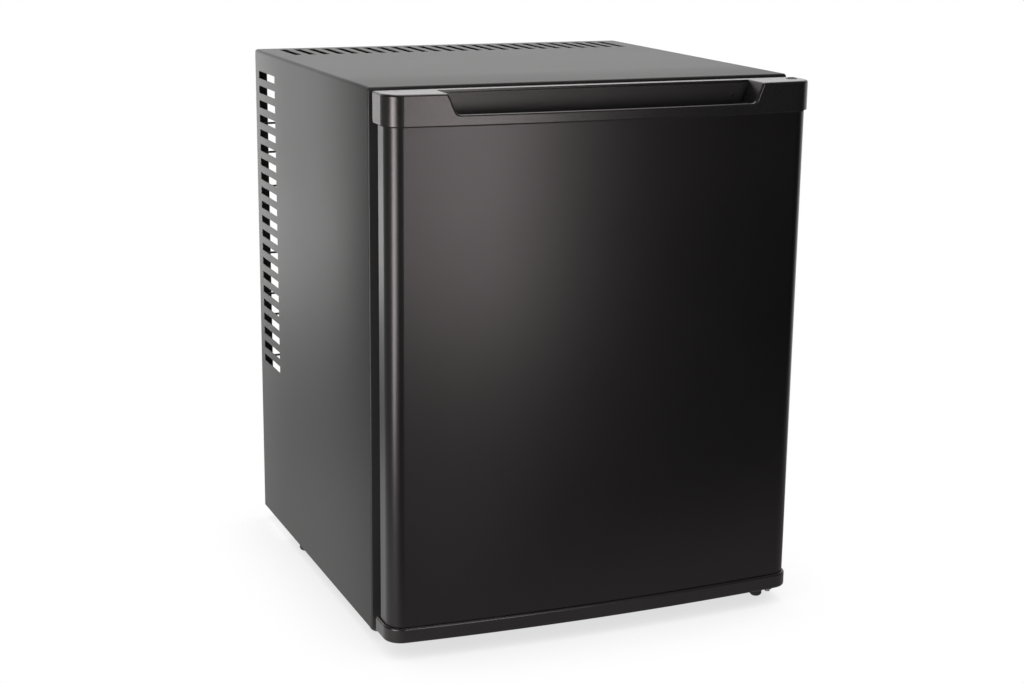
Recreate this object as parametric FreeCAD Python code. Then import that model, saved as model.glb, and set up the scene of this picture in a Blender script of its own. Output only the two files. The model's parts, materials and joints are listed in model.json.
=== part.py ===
import FreeCAD, Part
import math
import os
from FreeCAD import Vector

# Black absorption minibar fridge of about 30 litres, door hinged on the right.
# Millimetres, +Z up, front towards -Y, origin on the floor under the middle of its box.

os.makedirs("parts", exist_ok=True)

# Overall sizes
casing_width = 400.0
casing_depth = 364.0
casing_height = 482.0
foot_height = 13.0
door_gap = 12.5
door_end_thickness = 35.0
front_bow = 8.5
door_lift = 3.0
door_drop = 1.5

# Clearances and cutting overrun
overrun = 3.0
fit_gap = 0.2
run_gap = 0.4
rest_gap = 0.3
pin_gap = 0.05
parallel_limit = 0.001

# Casing sheet, front frame and vents
sheet = 0.8
casing_bend = 3.0
front_fold = 1.6
side_flange = 24.0
top_flange = 40.0
rear_flange = 11.5
vent_pitch = 14.6
vent_width = 7.3
vent_length = 58.0
vent_rear_margin = 13.0
side_vent_drop = 24.0
side_vent_lift = 160.0
top_vent_margin = 24.5

# Base plate, back panel and rear space
sill_height = 34.0
base_side_lip = 12.0
unit_depth = 74.0
panel_bead_width = 14.0
panel_bead_depth = 2.5
panel_bead_height = 90.0
panel_bead_spread = 40.0
cross_bar_height = 18.0
cross_bar_depth = 14.0

# Cabinet insulation and liner
side_insulation = 34.0
top_insulation = 46.0
bottom_insulation = 40.0
back_insulation = 40.0
liner_wall = 1.6
liner_corner = 14.0
liner_rim = 20.0
ledge_width = 7.0
ledge_height = 5.0
ledge_front_setback = 72.0
ledge_rear_margin = 16.0
upper_ledge_drop = 37.0
lower_ledge_share = 0.5086

# Wire shelves
shelf_side_gap = 3.0
shelf_front_setback = 80.0
shelf_rear_gap = 6.0
shelf_frame_radius = 2.5
shelf_wire_radius = 1.4
shelf_wire_count = 13
shelf_corner = 12.0

# Evaporator and drip tray
evaporator_width = 150.0
evaporator_height = 78.0
evaporator_base = 5.0
evaporator_drop = 26.0
fin_count = 15
fin_thickness = 1.8
fin_depth = 34.0
tray_width = 176.0
tray_depth = 62.0
tray_height = 14.0
tray_wall = 1.6
tray_drop = 9.0
tray_corner = 8.0
tray_rail_depth = 5.0
tray_rail_height = 4.0

# Inside control housing, knob and lamp
control_length = 62.0
control_height = 50.0
control_depth = 22.0
control_edge = 5.0
control_setback = 104.0
control_drop = 16.0
knob_radius = 13.0
knob_height = 9.0
knob_shaft_radius = 3.0
knob_shaft_length = 8.0
knob_grip_width = 4.0
knob_grip_height = 3.0
knob_place_share = 0.7
lens_length = 20.0
lens_height = 34.0
lens_thickness = 3.0
lens_corner = 3.0
lens_place_share = 0.25

# Door switch
switch_width = 22.0
switch_height = 20.0
switch_length = 28.0
switch_place = 60.0
switch_edge = 2.0
plunger_radius = 4.0
plunger_travel = 5.0
plunger_hold = 14.0

# Feet
foot_inset = 16.0
rear_foot_setback = 252.0
front_foot_setback = 28.0
foot_top_radius = 10.0
foot_sole_radius = 8.0
foot_sole_edge = 1.5
foot_stud_radius = 3.0
foot_stud_length = 9.0
bracket_foot_inset = 20.0
bracket_foot_forward = 20.0
bracket_foot_radius = 6.2
bracket_sole_radius = 5.6
bracket_stud_length = 4.0

# Hinge
hinge_inset = 9.5
hinge_forward = 24.0
hinge_pin_radius = 2.5
hinge_plate = 2.0
leaf_drop = 17.5
leaf_width = 14.0
leaf_play = 1.0
leaf_swing_degrees = 115.0
upper_plate_width = 18.0
upper_plate_height = 15.0
lower_plate = 2.5
lower_plate_width = 48.0
lower_plate_depth = 44.0
lower_tongue_width = 29.0
lower_tongue_reach = 9.0
lower_plate_corner = 6.0
lower_pin_rise = 10.0
bush_radius = 5.0
bush_flange_radius = 7.0
nut_across = 8.0
nut_height = 4.0
pin_tail = 2.5
pin_cover_radius = 5.0
pin_cover_height = 1.6
pin_cover_rise = 0.4
pin_cover_dish = 0.6
pin_cover_rim = 1.2

# Door caps, skin and liner
cap_corner = 16.5
cap_wall = 4.8
cap_roof = 3.0
cap_edge = 2.0
cap_heel = 3.0
top_cap_height = 26.0
bottom_cap_height = 14.0
bottom_cap_floor = 2.5
hinge_boss_radius = 8.5
skin_inset = 2.3
skin_setback = 7.0
seam_gap = 0.4
tongue_length = 8.0
door_liner_wall = 2.0

# Handle recess and its insert
recess_side_gap = 53.0
recess_slope = 7.5
lip_height = 8.5
lip_thickness = 3.2
recess_corner = 5.0
cap_strip = 10.5
strip_groove = 1.2
insert_wall = 2.0
insert_depth = 14.0
insert_top_drop = 2.3
insert_lip_drop = 1.0
plug_radius = 1.8
plug_rise = 0.7
plug_inset = 18.0
plug_drop = 12.0

# Ridge and racks inside the door
ridge_side_gap = 14.0
ridge_width = 22.0
ridge_reach = 30.0
ridge_corner = 16.0
ridge_bottom_margin = 32.0
ridge_top_margin = 27.0
rack_wall = 2.4
rack_reach = 28.0
rack_corner = 10.0
lower_rack_height = 62.0
upper_rack_height = 42.0
lower_rack_lift = 6.0
upper_rack_headroom = 99.7
rack_slot_count = 9
rack_slot_width = 9.0
rack_slot_height_share = 0.45

# Gasket
gasket_width = 16.0
gasket_inset = 12.0
gasket_cap_gap = 4.0
gasket_corner = 10.0
gasket_base = 5.5
gasket_neck = 8.0
gasket_head = 13.0
gasket_head_depth = 6.0
gasket_press_gap = 0.5

# Absorption unit
unit_stand = 36.0
boiler_side_gap = 88.0
boiler_radius = 31.0
boiler_lift = 87.0
boiler_height = 205.0
boiler_rim = 2.0
boiler_rim_height = 6.0
pump_radius = 9.0
pump_bend = 26.0
condenser_drop = 34.0
condenser_boiler_gap = 42.0
condenser_end_gap = 28.0
cooling_fin_margin = 10.0
cooling_fin_pitch = 9.5
cooling_fin_half_depth = 23.0
cooling_fin_half_height = 24.0
cooling_fin_thickness = 1.0
condensate_radius = 4.0
condensate_bend = 14.0
condensate_side_gap = 60.0
condensate_inner_place = 58.0
gas_radius = 11.0
gas_bend = 24.0
coil_radius = 8.0
coil_pitch = 36.0
coil_bend = 16.0
coil_side_gap = 65.0
coil_boiler_gap = 41.0
coil_run_count = 4
coil_lift = 44.0
coil_drop = 26.0
coil_outlet = 20.0
vessel_radius = 25.0
vessel_side_gap = 50.0
vessel_right = 20.0
vessel_lift = 38.0
vessel_end_radius = 10.0
vessel_nipple_radius = 9.5
vessel_nipple_rise = 8.0
liquid_radius = 8.0
liquid_bend = 30.0
heater_radius = 6.0
heater_offset = 20.0
heater_length = 28.0
conduit_radius = 3.5
conduit_bend = 10.0
conduit_drop = 16.0
bracket_width = 16.0
bracket_sheet = 1.5
bracket_foot = 12.0
coil_bracket_place = 70.0
coil_bracket_margin = 20.0
boiler_bracket_margin = 40.0

# Rear control box, power inlet and stay wires
box_width = 38.0
box_height = 70.0
box_depth = 52.0
box_side_gap = 11.0
box_lift = 10.0
box_edge = 3.0
inlet_width = 31.0
inlet_height = 24.0
inlet_plate = 2.5
inlet_body_width = 27.0
inlet_body_height = 20.0
inlet_body_depth = 20.0
inlet_mouth_width = 24.0
inlet_mouth_height = 16.5
inlet_mouth_depth = 15.0
inlet_mouth_corner = 4.0
inlet_pin_width = 2.0
inlet_pin_height = 4.0
inlet_pin_length = 11.0
inlet_pin_spread = 7.0
inlet_pin_drop = 2.0
stay_radius = 1.1
stay_side_gap = 1.0
stay_upright_place = 60.0
stay_overhang = 8.0
stay_height_shares = (0.34, 0.4317, 0.4778, 0.5674, 0.7114, 0.784, 0.8452)

# Screws
screw_radius = 2.0
screw_head_radius = 3.6
screw_head_height = 1.6
screw_length = 6.0
panel_screw_inset = 12.0
panel_screw_lift = 100.0
panel_screw_drop = 30.0

# Places that follow from the sizes above
half_width = casing_width / 2
depth_overall = casing_depth + door_gap + door_end_thickness + front_bow
casing_rear = depth_overall / 2
casing_front = casing_rear - casing_depth
casing_floor = foot_height
casing_top = casing_floor + casing_height
door_rear = casing_front - door_gap
door_floor = casing_floor + door_lift
door_top = casing_top - door_drop
top_cap_floor = door_top - top_cap_height
bottom_cap_top = door_floor + bottom_cap_height
panel_rear = casing_rear - unit_depth
panel_front = panel_rear - sheet
liner_half = half_width - side_insulation
liner_floor = casing_floor + bottom_insulation
liner_ceiling = casing_top - top_insulation
liner_front = casing_front + sheet
liner_back = panel_front - back_insulation
hinge_x = half_width - hinge_inset
hinge_y = casing_front - hinge_forward
skin_rear = door_rear - skin_setback
skin_floor = bottom_cap_top + seam_gap
skin_top = top_cap_floor - seam_gap
unit_y = panel_rear + unit_stand
recess_half = half_width - recess_side_gap
ridge_half = liner_half - ridge_side_gap
boiler_place = half_width - boiler_side_gap
condenser_start = boiler_place - condenser_boiler_gap
condensate_outer_place = half_width - condensate_side_gap
condenser_length = condenser_start + condensate_outer_place - condenser_end_gap
coil_left = half_width - coil_side_gap
coil_right = boiler_place - boiler_radius - coil_boiler_gap
vessel_left = half_width - vessel_side_gap

# Numbers of vents and fins that the sizes leave room for
side_vent_count = int((casing_height - side_vent_drop - side_vent_lift) / vent_pitch) + 1
top_vent_count = int((casing_width - 2 * top_vent_margin) / vent_pitch) + 1
cooling_fin_count = int((condenser_length - 2 * cooling_fin_margin) / cooling_fin_pitch) + 1

# Door front: a wide arc across the width, met by a tangent arc at each upright edge
bow_radius = (half_width ** 2 + front_bow ** 2) / (2 * front_bow)
bow_centre_y = door_rear - door_end_thickness - front_bow + bow_radius
corner_centre_x = half_width - cap_corner
corner_centre_y = bow_centre_y - math.sqrt((bow_radius - cap_corner) ** 2 - corner_centre_x ** 2)
corner_lean = math.atan2(corner_centre_x, bow_centre_y - corner_centre_y)

along_x = Vector(1, 0, 0)
along_y = Vector(0, 1, 0)
along_z = Vector(0, 0, 1)


def box(x0, x1, y0, y1, z0, z1):
    return Part.makeBox(x1 - x0, y1 - y0, z1 - z0, Vector(x0, y0, z0))


def rod(start, end, radius):
    return Part.makeCylinder(radius, (end - start).Length, start, end - start)


def joined(solids):
    return solids[0].fuse(solids[1:]).removeSplitter()


def group(solids):
    return Part.makeCompound(solids)


def mirrored(solid):
    return solid.mirror(Vector(0, 0, 0), along_x)


def edges_along(solid, direction):
    straight = [edge for edge in solid.Edges if edge.Curve.TypeId == "Part::GeomLine"]
    return [edge for edge in straight if edge.Curve.Direction.cross(direction).Length < parallel_limit]


def soft_box(x0, x1, y0, y1, z0, z1, direction, radius):
    solid = box(x0, x1, y0, y1, z0, z1)
    return solid.makeFillet(radius, edges_along(solid, direction))


def tube_path(points, bend):
    # Straight runs joined by tangent arcs of one radius
    edges = []
    start = points[0]
    for before, corner, after in zip(points, points[1:], points[2:]):
        into = (corner - before).normalize()
        out = (after - corner).normalize()
        half_turn = into.getAngle(out) / 2
        reach = bend * math.tan(half_turn)
        inward = (out - into).normalize()
        first = corner - into * reach
        middle = corner + inward * (bend / math.cos(half_turn) - bend)
        last = corner + out * reach
        edges.append(Part.LineSegment(start, first).toShape())
        edges.append(Part.Arc(first, middle, last).toShape())
        start = last
    edges.append(Part.LineSegment(start, points[-1]).toShape())
    return Part.Wire(edges)


def bent_tube(points, bend, radius):
    ring = Part.Wire(Part.makeCircle(radius, points[0], points[1] - points[0]))
    return tube_path(points, bend).makePipeShell([ring], True, False)


def door_block(inset, rear, low, high):
    # Upright block with the door's plan outline, drawn in by the inset on its front and sides
    half = half_width - inset
    radius = cap_corner - inset
    bow = bow_radius - inset
    lean = math.sin(corner_lean)
    fall = math.cos(corner_lean)
    half_lean = (corner_lean + math.pi / 2) / 2
    side = Vector(half, corner_centre_y, low)
    bend_x = corner_centre_x + radius * math.sin(half_lean)
    bend_y = corner_centre_y - radius * math.cos(half_lean)
    bend = Vector(bend_x, bend_y, low)
    front = Vector(corner_centre_x + radius * lean, corner_centre_y - radius * fall, low)
    middle = Vector(0, bow_centre_y - bow, low)
    corner = Vector(half, rear, low)

    def other(point):
        return Vector(-point.x, point.y, point.z)

    edges = [
        Part.LineSegment(corner, side).toShape(),
        Part.Arc(side, bend, front).toShape(),
        Part.Arc(front, middle, other(front)).toShape(),
        Part.Arc(other(front), other(bend), other(side)).toShape(),
        Part.LineSegment(other(side), other(corner)).toShape(),
        Part.LineSegment(other(corner), corner).toShape(),
    ]
    return Part.Face(Part.Wire(edges)).extrude(Vector(0, 0, high - low))


def arch_block(half, low, high, radius, front, rear):
    # Block along Y whose two upper edges are rounded
    solid = box(-half, half, front, rear, low, high)
    upper = [edge for edge in edges_along(solid, along_y) if edge.CenterOfMass.z > (low + high) / 2]
    return solid.makeFillet(radius, upper)


def folded_block(solid, front, low, radius):
    # The same block with its front edges rounded, apart from the one at its floor
    edges = [edge for edge in solid.Edges if edge.BoundBox.YMax < front + pin_gap]
    return solid.makeFillet(radius, [edge for edge in edges if edge.CenterOfMass.z > low + pin_gap])


def frame_block(half, low, high, radius, front, rear):
    return soft_box(-half, half, front, rear, low, high, along_y, radius)


def screw(head_at, into):
    # Pan head with its shank, the head's underside at head_at
    head = Part.makeCylinder(screw_head_radius, screw_head_height, head_at, -into)
    rims = [edge for edge in head.Edges if edge.isClosed()]
    crown = max(rims, key=lambda edge: (edge.CenterOfMass - head_at).Length)
    head = head.makeFillet(screw_head_height / 2, [crown])
    return joined([head, Part.makeCylinder(screw_radius, screw_length, head_at, into)])


# Cabinet shell

def make_outer_casing():
    outer = arch_block(half_width, casing_floor, casing_top, casing_bend, casing_front, casing_rear)
    outer = folded_block(outer, casing_front, casing_floor, front_fold)
    inner = arch_block(half_width - sheet, casing_floor - overrun, casing_top - sheet, casing_bend - sheet,
                       casing_front + sheet, casing_rear - sheet)
    inner = folded_block(inner, casing_front + sheet, casing_floor - overrun, front_fold - sheet)
    mouth = box(side_flange - half_width, half_width - side_flange, casing_front - overrun,
                casing_front + sheet + overrun, casing_floor - overrun, casing_top - top_flange)
    back = box(rear_flange - half_width, half_width - rear_flange, casing_rear - sheet - overrun,
               casing_rear + overrun, casing_floor - overrun, casing_top - rear_flange)
    vent_rear = casing_rear - vent_rear_margin
    vents = []
    for number in range(side_vent_count):
        middle = casing_top - side_vent_drop - number * vent_pitch
        vents.append(box(-half_width - overrun, half_width + overrun, vent_rear - vent_length, vent_rear,
                         middle - vent_width / 2, middle + vent_width / 2))
    for number in range(top_vent_count):
        middle = (number - (top_vent_count - 1) / 2) * vent_pitch
        vents.append(box(middle - vent_width / 2, middle + vent_width / 2, vent_rear - vent_length, vent_rear,
                         casing_top - sheet - overrun, casing_top + overrun))
    holes = []
    for place in upper_screw_places():
        holes.append(rod(place, place + along_y * screw_length, screw_radius + pin_gap))
    return outer.cut([inner, mouth, back] + vents + holes)


def foot_places():
    side = half_width - foot_inset
    return {
        "front_left": Vector(-side, casing_front + front_foot_setback, 0),
        "rear_left": Vector(-side, casing_front + rear_foot_setback, 0),
        "rear_right": Vector(side, casing_front + rear_foot_setback, 0),
    }


def bracket_foot_place():
    return Vector(half_width - bracket_foot_inset, casing_front - bracket_foot_forward, 0)


def base_screw_places():
    across = half_width - side_flange - lower_plate_width - screw_head_radius
    front = casing_front + lower_plate_depth / 2
    rear = panel_front - lower_plate_depth / 2
    return [Vector(x, y, casing_floor) for x in (-across, across) for y in (front, rear)]


def lower_screw_places():
    middle = half_width - sheet - lower_plate_width / 2
    reach = casing_front + lower_plate_depth * 2 / 3
    spread = lower_plate_width / 4
    return [Vector(middle - spread, reach, casing_floor - lower_plate),
            Vector(middle + spread, reach, casing_floor - lower_plate)]


def make_base_plate():
    half = half_width - sheet
    sill_half = half_width - side_flange
    fold_rear = casing_front + front_fold
    floor = box(-half, half, fold_rear, panel_rear, casing_floor, casing_floor + sheet)
    toe = box(-sill_half, sill_half, casing_front, fold_rear, casing_floor, casing_floor + sheet)
    sill = box(-sill_half, sill_half, casing_front, casing_front + sheet, casing_floor,
               casing_floor + sill_height)
    lip = box(half - sheet, half, fold_rear, panel_front, casing_floor, casing_floor + base_side_lip)
    plate = joined([floor, toe, sill, lip, mirrored(lip)])
    holes = []
    for place in foot_places().values():
        holes.append(Part.makeCylinder(foot_stud_radius + pin_gap, sheet + 2 * overrun,
                                       place + along_z * (casing_floor - overrun)))
    for place in base_screw_places() + lower_screw_places():
        holes.append(Part.makeCylinder(screw_radius + pin_gap, lower_plate + 2 * overrun,
                                       place - along_z * overrun))
    return plate.cut(holes)


def pipe_holes(gap):
    # Passages of the two unit tubes through the back panel, the foam and the liner's rear wall
    holes = []
    for points, radius in ((gas_points(), gas_radius), (condensate_points()[-2:], condensate_radius)):
        level = points[0].z
        across = points[0].x
        start = Vector(across, liner_back - overrun, level)
        holes.append(rod(start, Vector(across, panel_rear + overrun, level), radius + gap))
    return holes


def panel_screw_places():
    across = half_width - sheet - panel_screw_inset
    levels = (casing_floor + panel_screw_lift, (casing_floor + casing_top) / 2, casing_top - panel_screw_drop)
    return [Vector(x, panel_rear, z) for x in (-across, across) for z in levels]


def box_screw_places():
    middle = box_right() - box_width / 2
    low = box_floor() + 2 * screw_head_radius
    high = box_floor() + box_height - 2 * screw_head_radius
    return [Vector(middle, panel_rear + box_depth, level) for level in (low, high)]


def make_back_panel():
    half = half_width - sheet - fit_gap
    low = casing_floor + sheet
    panel = box(-half, half, panel_front, panel_rear, low, casing_top - sheet - casing_bend)
    top = box(casing_bend - half_width, half_width - casing_bend, panel_front, panel_rear,
              casing_top - sheet - casing_bend, casing_top - sheet - fit_gap)
    beads = []
    level = gas_points()[-1].z
    for side in (-1, 1):
        middle = side * panel_bead_spread
        beads.append(soft_box(middle - panel_bead_width / 2, middle + panel_bead_width / 2, panel_rear,
                              panel_rear + panel_bead_depth, level - panel_bead_height / 2,
                              level + panel_bead_height / 2, along_y, panel_bead_width / 2 - fit_gap))
    holes = pipe_holes(fit_gap)
    for place in panel_screw_places():
        holes.append(rod(place + along_y * overrun, place - along_y * (sheet + overrun),
                         screw_radius + pin_gap))
    return joined([panel, top] + beads).cut(holes)


def liner_block(grow, front):
    # Closed block of the liner's tub, grown outwards all round
    tub = soft_box(-liner_half - grow, liner_half + grow, front, liner_back + grow, liner_floor - grow,
                   liner_ceiling + grow, along_y, liner_corner + grow)
    rear = [edge for edge in tub.Edges if abs(edge.CenterOfMass.y - liner_back - grow) < pin_gap]
    return tub.makeFillet(liner_corner / 2 + grow, rear)


def ledge_levels():
    upper = tray_floor() - upper_ledge_drop
    return (liner_floor + (upper - liner_floor) * lower_ledge_share, upper)


def make_inner_liner():
    tub = liner_block(liner_wall, liner_front)
    rim = frame_block(liner_half + liner_rim, liner_floor - liner_rim, liner_ceiling + liner_rim,
                      liner_corner, liner_front, liner_front + liner_wall)
    hollow = liner_block(0, liner_front - overrun)
    holes = []
    for place in evaporator_screw_places():
        holes.append(rod(place, place + along_y * back_insulation, screw_radius + pin_gap))
    return joined([tub, rim]).cut([hollow] + pipe_holes(fit_gap) + holes)


def make_shelf_rails():
    # A pair of rails for each shelf on the side walls, and one across the rear wall for the drip tray
    rails = []
    for level in ledge_levels():
        rail = box(liner_half - ledge_width, liner_half, casing_front + ledge_front_setback,
                   liner_back - ledge_rear_margin, level - ledge_height, level)
        middle = level - ledge_height / 2
        lower = [edge for edge in edges_along(rail, along_y) if edge.CenterOfMass.z < middle]
        rail = rail.makeChamfer(ledge_height / 2, [min(lower, key=lambda edge: edge.CenterOfMass.x)])
        rails += [rail, mirrored(rail)]
    rails.append(box(-tray_width / 2, tray_width / 2, liner_back - tray_rail_depth, liner_back,
                     tray_floor() - tray_rail_height, tray_floor()))
    return group(rails)


def make_cabinet_foam():
    half = half_width - 2 * sheet
    low = casing_floor + sheet
    foam = arch_block(half, low, casing_top - sheet, casing_bend, casing_front + sheet, panel_front)
    foam = folded_block(foam, casing_front + sheet, low, front_fold)
    rim = frame_block(liner_half + liner_rim + fit_gap, liner_floor - liner_rim - fit_gap,
                      liner_ceiling + liner_rim + fit_gap, liner_corner, liner_front - overrun,
                      liner_front + liner_wall + fit_gap)
    sockets = []
    for place in foot_places().values():
        sockets.append(Part.makeCylinder(foot_stud_radius + run_gap, foot_stud_length + overrun,
                                         place + along_z * (low - fit_gap)))
    for place in base_screw_places():
        sockets.append(Part.makeCylinder(screw_radius + run_gap, screw_length + run_gap, place))
    for place in lower_screw_places():
        sockets.append(Part.makeCylinder(screw_radius + run_gap, screw_length + run_gap, place))
    for place in panel_screw_places():
        sockets.append(Part.makeCylinder(screw_radius + run_gap, screw_length + run_gap, place, -along_y))
    for place in upper_screw_places():
        sockets.append(Part.makeCylinder(screw_radius + run_gap, screw_length + run_gap, place, along_y))
    for place in evaporator_screw_places():
        sockets.append(Part.makeCylinder(screw_radius + run_gap, screw_length + run_gap, place, along_y))
    tub = liner_block(liner_wall + fit_gap, liner_front - overrun)
    return foam.cut([tub, rim] + pipe_holes(fit_gap) + sockets)


# Inside the cabinet

def evaporator_top():
    return liner_ceiling - evaporator_drop


def tray_floor():
    return evaporator_top() - evaporator_height - tray_drop - tray_height


def fin_pitch():
    return (evaporator_width - fin_thickness) / (fin_count - 1)


def evaporator_screw_places():
    across = (evaporator_width - fin_thickness - fin_pitch()) / 2
    front = liner_back - evaporator_base
    levels = (evaporator_top() - evaporator_height / 5, evaporator_top() - evaporator_height * 4 / 5)
    return [Vector(x, front, z) for x in (-across, across) for z in levels]


def make_evaporator_fins():
    low = evaporator_top() - evaporator_height
    half = evaporator_width / 2
    plate = box(-half, half, liner_back - evaporator_base, liner_back, low, evaporator_top())
    fins = [plate]
    for number in range(fin_count):
        left = number * fin_pitch() - half
        fins.append(box(left, left + fin_thickness, liner_back - evaporator_base - fin_depth,
                        liner_back - evaporator_base / 2, low, evaporator_top()))
    holes = []
    for place in evaporator_screw_places():
        holes.append(rod(place - along_y * overrun, place + along_y * (evaporator_base + overrun),
                         screw_radius + pin_gap))
    return joined(fins).cut(holes)


def make_drip_tray():
    rear = liner_back - fit_gap
    low = tray_floor()
    half = tray_width / 2
    tray = soft_box(-half, half, rear - tray_depth, rear, low, low + tray_height, along_z, tray_corner)
    hollow = soft_box(tray_wall - half, half - tray_wall, rear - tray_depth + tray_wall, rear - tray_wall,
                      low + tray_wall, low + tray_height + overrun, along_z, tray_corner - tray_wall)
    return tray.cut(hollow)


def shelf_front():
    return casing_front + shelf_front_setback


def make_shelf(level):
    # Rounded frame of rod with straight wires welded on, resting on the rails
    half = liner_half - shelf_side_gap - shelf_frame_radius
    front = shelf_front() + shelf_frame_radius
    rear = liner_back - shelf_rear_gap - shelf_frame_radius
    middle = level + rest_gap + shelf_frame_radius
    points = [Vector(0, front, middle), Vector(half, front, middle), Vector(half, rear, middle),
              Vector(-half, rear, middle), Vector(-half, front, middle), Vector(0, front, middle)]
    solids = [bent_tube(points, shelf_corner, shelf_frame_radius)]
    pitch = 2 * half / (shelf_wire_count + 1)
    for number in range(shelf_wire_count):
        across = (number + 1) * pitch - half
        solids.append(rod(Vector(across, front, middle), Vector(across, rear, middle), shelf_wire_radius))
    bar = (front + rear) / 2
    solids.append(rod(Vector(-half, bar, middle), Vector(half, bar, middle), shelf_wire_radius))
    return joined(solids)


def control_box_place():
    front = casing_front + control_setback
    top = liner_ceiling - control_drop
    return front, top


def knob_place():
    front, top = control_box_place()
    return Vector(liner_half - control_depth, front + control_length * knob_place_share,
                  top - control_height / 2)


def make_control_housing():
    front, top = control_box_place()
    face = liner_half - control_depth
    housing = soft_box(face, liner_half, front, front + control_length, top - control_height, top, along_x,
                       control_edge)
    rim = [edge for edge in housing.Edges if edge.CenterOfMass.x < face + pin_gap]
    housing = housing.makeFillet(control_edge / 2, rim)
    socket = rod(knob_place() - along_x * overrun, knob_place() + along_x * (knob_shaft_length + fit_gap),
                 knob_shaft_radius + pin_gap)
    return housing.cut([socket, make_lens(fit_gap)])


def make_lens(grow):
    front, top = control_box_place()
    face = liner_half - control_depth
    middle = front + control_length * lens_place_share
    level = top - control_height / 2
    return soft_box(face - lens_thickness / 3, face + lens_thickness + grow, middle - lens_length / 2 - grow,
                    middle + lens_length / 2 + grow, level - lens_height / 2 - grow,
                    level + lens_height / 2 + grow, along_x, lens_corner)


def make_thermostat_knob():
    face = knob_place() - along_x * run_gap
    body = Part.makeCylinder(knob_radius, knob_height, face, -along_x)
    rims = [edge for edge in body.Edges if edge.isClosed()]
    body = body.makeFillet(knob_height / 6, [min(rims, key=lambda edge: edge.CenterOfMass.x)])
    shaft = rod(face, knob_place() + along_x * knob_shaft_length, knob_shaft_radius)
    tip = face.x - knob_height
    grip = soft_box(tip - knob_grip_height, tip + knob_height / 3, face.y - knob_grip_width / 2,
                    face.y + knob_grip_width / 2, face.z - knob_radius * 4 / 5, face.z + knob_radius * 4 / 5,
                    along_x, knob_grip_width / 3)
    return joined([body, shaft, grip])


def switch_front():
    return casing_front + ridge_reach + plunger_travel + run_gap + plunger_radius


def plunger_level():
    return liner_ceiling - switch_height / 2 - switch_edge


def make_light_switch_body():
    low = liner_ceiling - switch_height
    body = soft_box(switch_place - switch_width / 2, switch_place + switch_width / 2, switch_front(),
                    switch_front() + switch_length, low, liner_ceiling, along_z, switch_edge)
    guide = rod(Vector(switch_place, switch_front() - overrun, plunger_level()),
                Vector(switch_place, switch_front() + plunger_hold + run_gap, plunger_level()),
                plunger_radius + pin_gap)
    return body.cut(guide)


def make_light_switch_plunger():
    tip = casing_front + ridge_reach + run_gap
    plunger = rod(Vector(switch_place, tip, plunger_level()),
                  Vector(switch_place, switch_front() + plunger_hold, plunger_level()), plunger_radius)
    nose = [edge for edge in plunger.Edges if edge.isClosed() and edge.CenterOfMass.y < tip + pin_gap]
    return plunger.makeFillet(plunger_radius / 2, nose)


# Feet and hinges

def make_foot(place, top, top_radius, sole_radius, stud_length):
    outline = [Vector(0, 0, 0), Vector(sole_radius - foot_sole_edge, 0, 0),
               Vector(sole_radius, 0, foot_sole_edge), Vector(top_radius, 0, top),
               Vector(foot_stud_radius, 0, top), Vector(foot_stud_radius, 0, top + stud_length),
               Vector(0, 0, top + stud_length)]
    turned = Part.Face(Part.makePolygon(outline + outline[:1])).revolve(Vector(0, 0, 0), along_z, 360)
    turned.translate(place)
    return turned


def make_lower_hinge_bracket():
    low = casing_floor - lower_plate
    right = half_width - sheet
    rear = casing_front + lower_plate_depth
    base = box(right - lower_plate_width, right, casing_front, rear, low, casing_floor)
    tongue = box(right - lower_tongue_width, right, hinge_y - lower_tongue_reach,
                 casing_front + lower_plate_corner, low, casing_floor)
    plate = joined([base, tongue])
    upright = edges_along(plate, along_z)
    outer = [edge for edge in upright if edge.CenterOfMass.y > rear - pin_gap]
    outer += [edge for edge in upright if edge.CenterOfMass.y < casing_front - lower_plate_corner]
    plate = plate.makeFillet(lower_plate_corner, outer)
    down = low - overrun
    through = lower_plate + 2 * overrun
    holes = [Part.makeCylinder(hinge_pin_radius + pin_gap, through, Vector(hinge_x, hinge_y, down)),
             Part.makeCylinder(foot_stud_radius + pin_gap, through, bracket_foot_place() + along_z * down)]
    for place in lower_screw_places():
        holes.append(Part.makeCylinder(screw_radius + pin_gap, through, place - along_z * overrun))
    return plate.cut(holes)


def lower_pin_foot():
    return casing_floor - lower_plate - nut_height - pin_tail


def make_lower_hinge_pin():
    return rod(Vector(hinge_x, hinge_y, lower_pin_foot()),
               Vector(hinge_x, hinge_y, door_floor + lower_pin_rise), hinge_pin_radius)


def make_hinge_nut():
    reach = nut_across / math.sqrt(3)
    low = casing_floor - lower_plate - nut_height
    corners = []
    for number in range(7):
        turn = math.pi * number / 3
        corners.append(Vector(hinge_x + reach * math.cos(turn), hinge_y + reach * math.sin(turn), low))
    nut = Part.Face(Part.makePolygon(corners)).extrude(Vector(0, 0, nut_height))
    bore = rod(Vector(hinge_x, hinge_y, lower_pin_foot()), Vector(hinge_x, hinge_y, casing_floor),
               hinge_pin_radius + pin_gap)
    return nut.cut(bore)


def make_lower_hinge_bush():
    top = door_floor + lower_pin_rise
    flange = rod(Vector(hinge_x, hinge_y, casing_floor + run_gap), Vector(hinge_x, hinge_y, door_floor),
                 bush_flange_radius)
    sleeve = rod(Vector(hinge_x, hinge_y, door_floor), Vector(hinge_x, hinge_y, top), bush_radius)
    bore = rod(Vector(hinge_x, hinge_y, casing_floor - overrun), Vector(hinge_x, hinge_y, top + overrun),
               hinge_pin_radius + pin_gap)
    return joined([flange, sleeve]).cut(bore)


def leaf_floor():
    return door_top - leaf_drop


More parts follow.
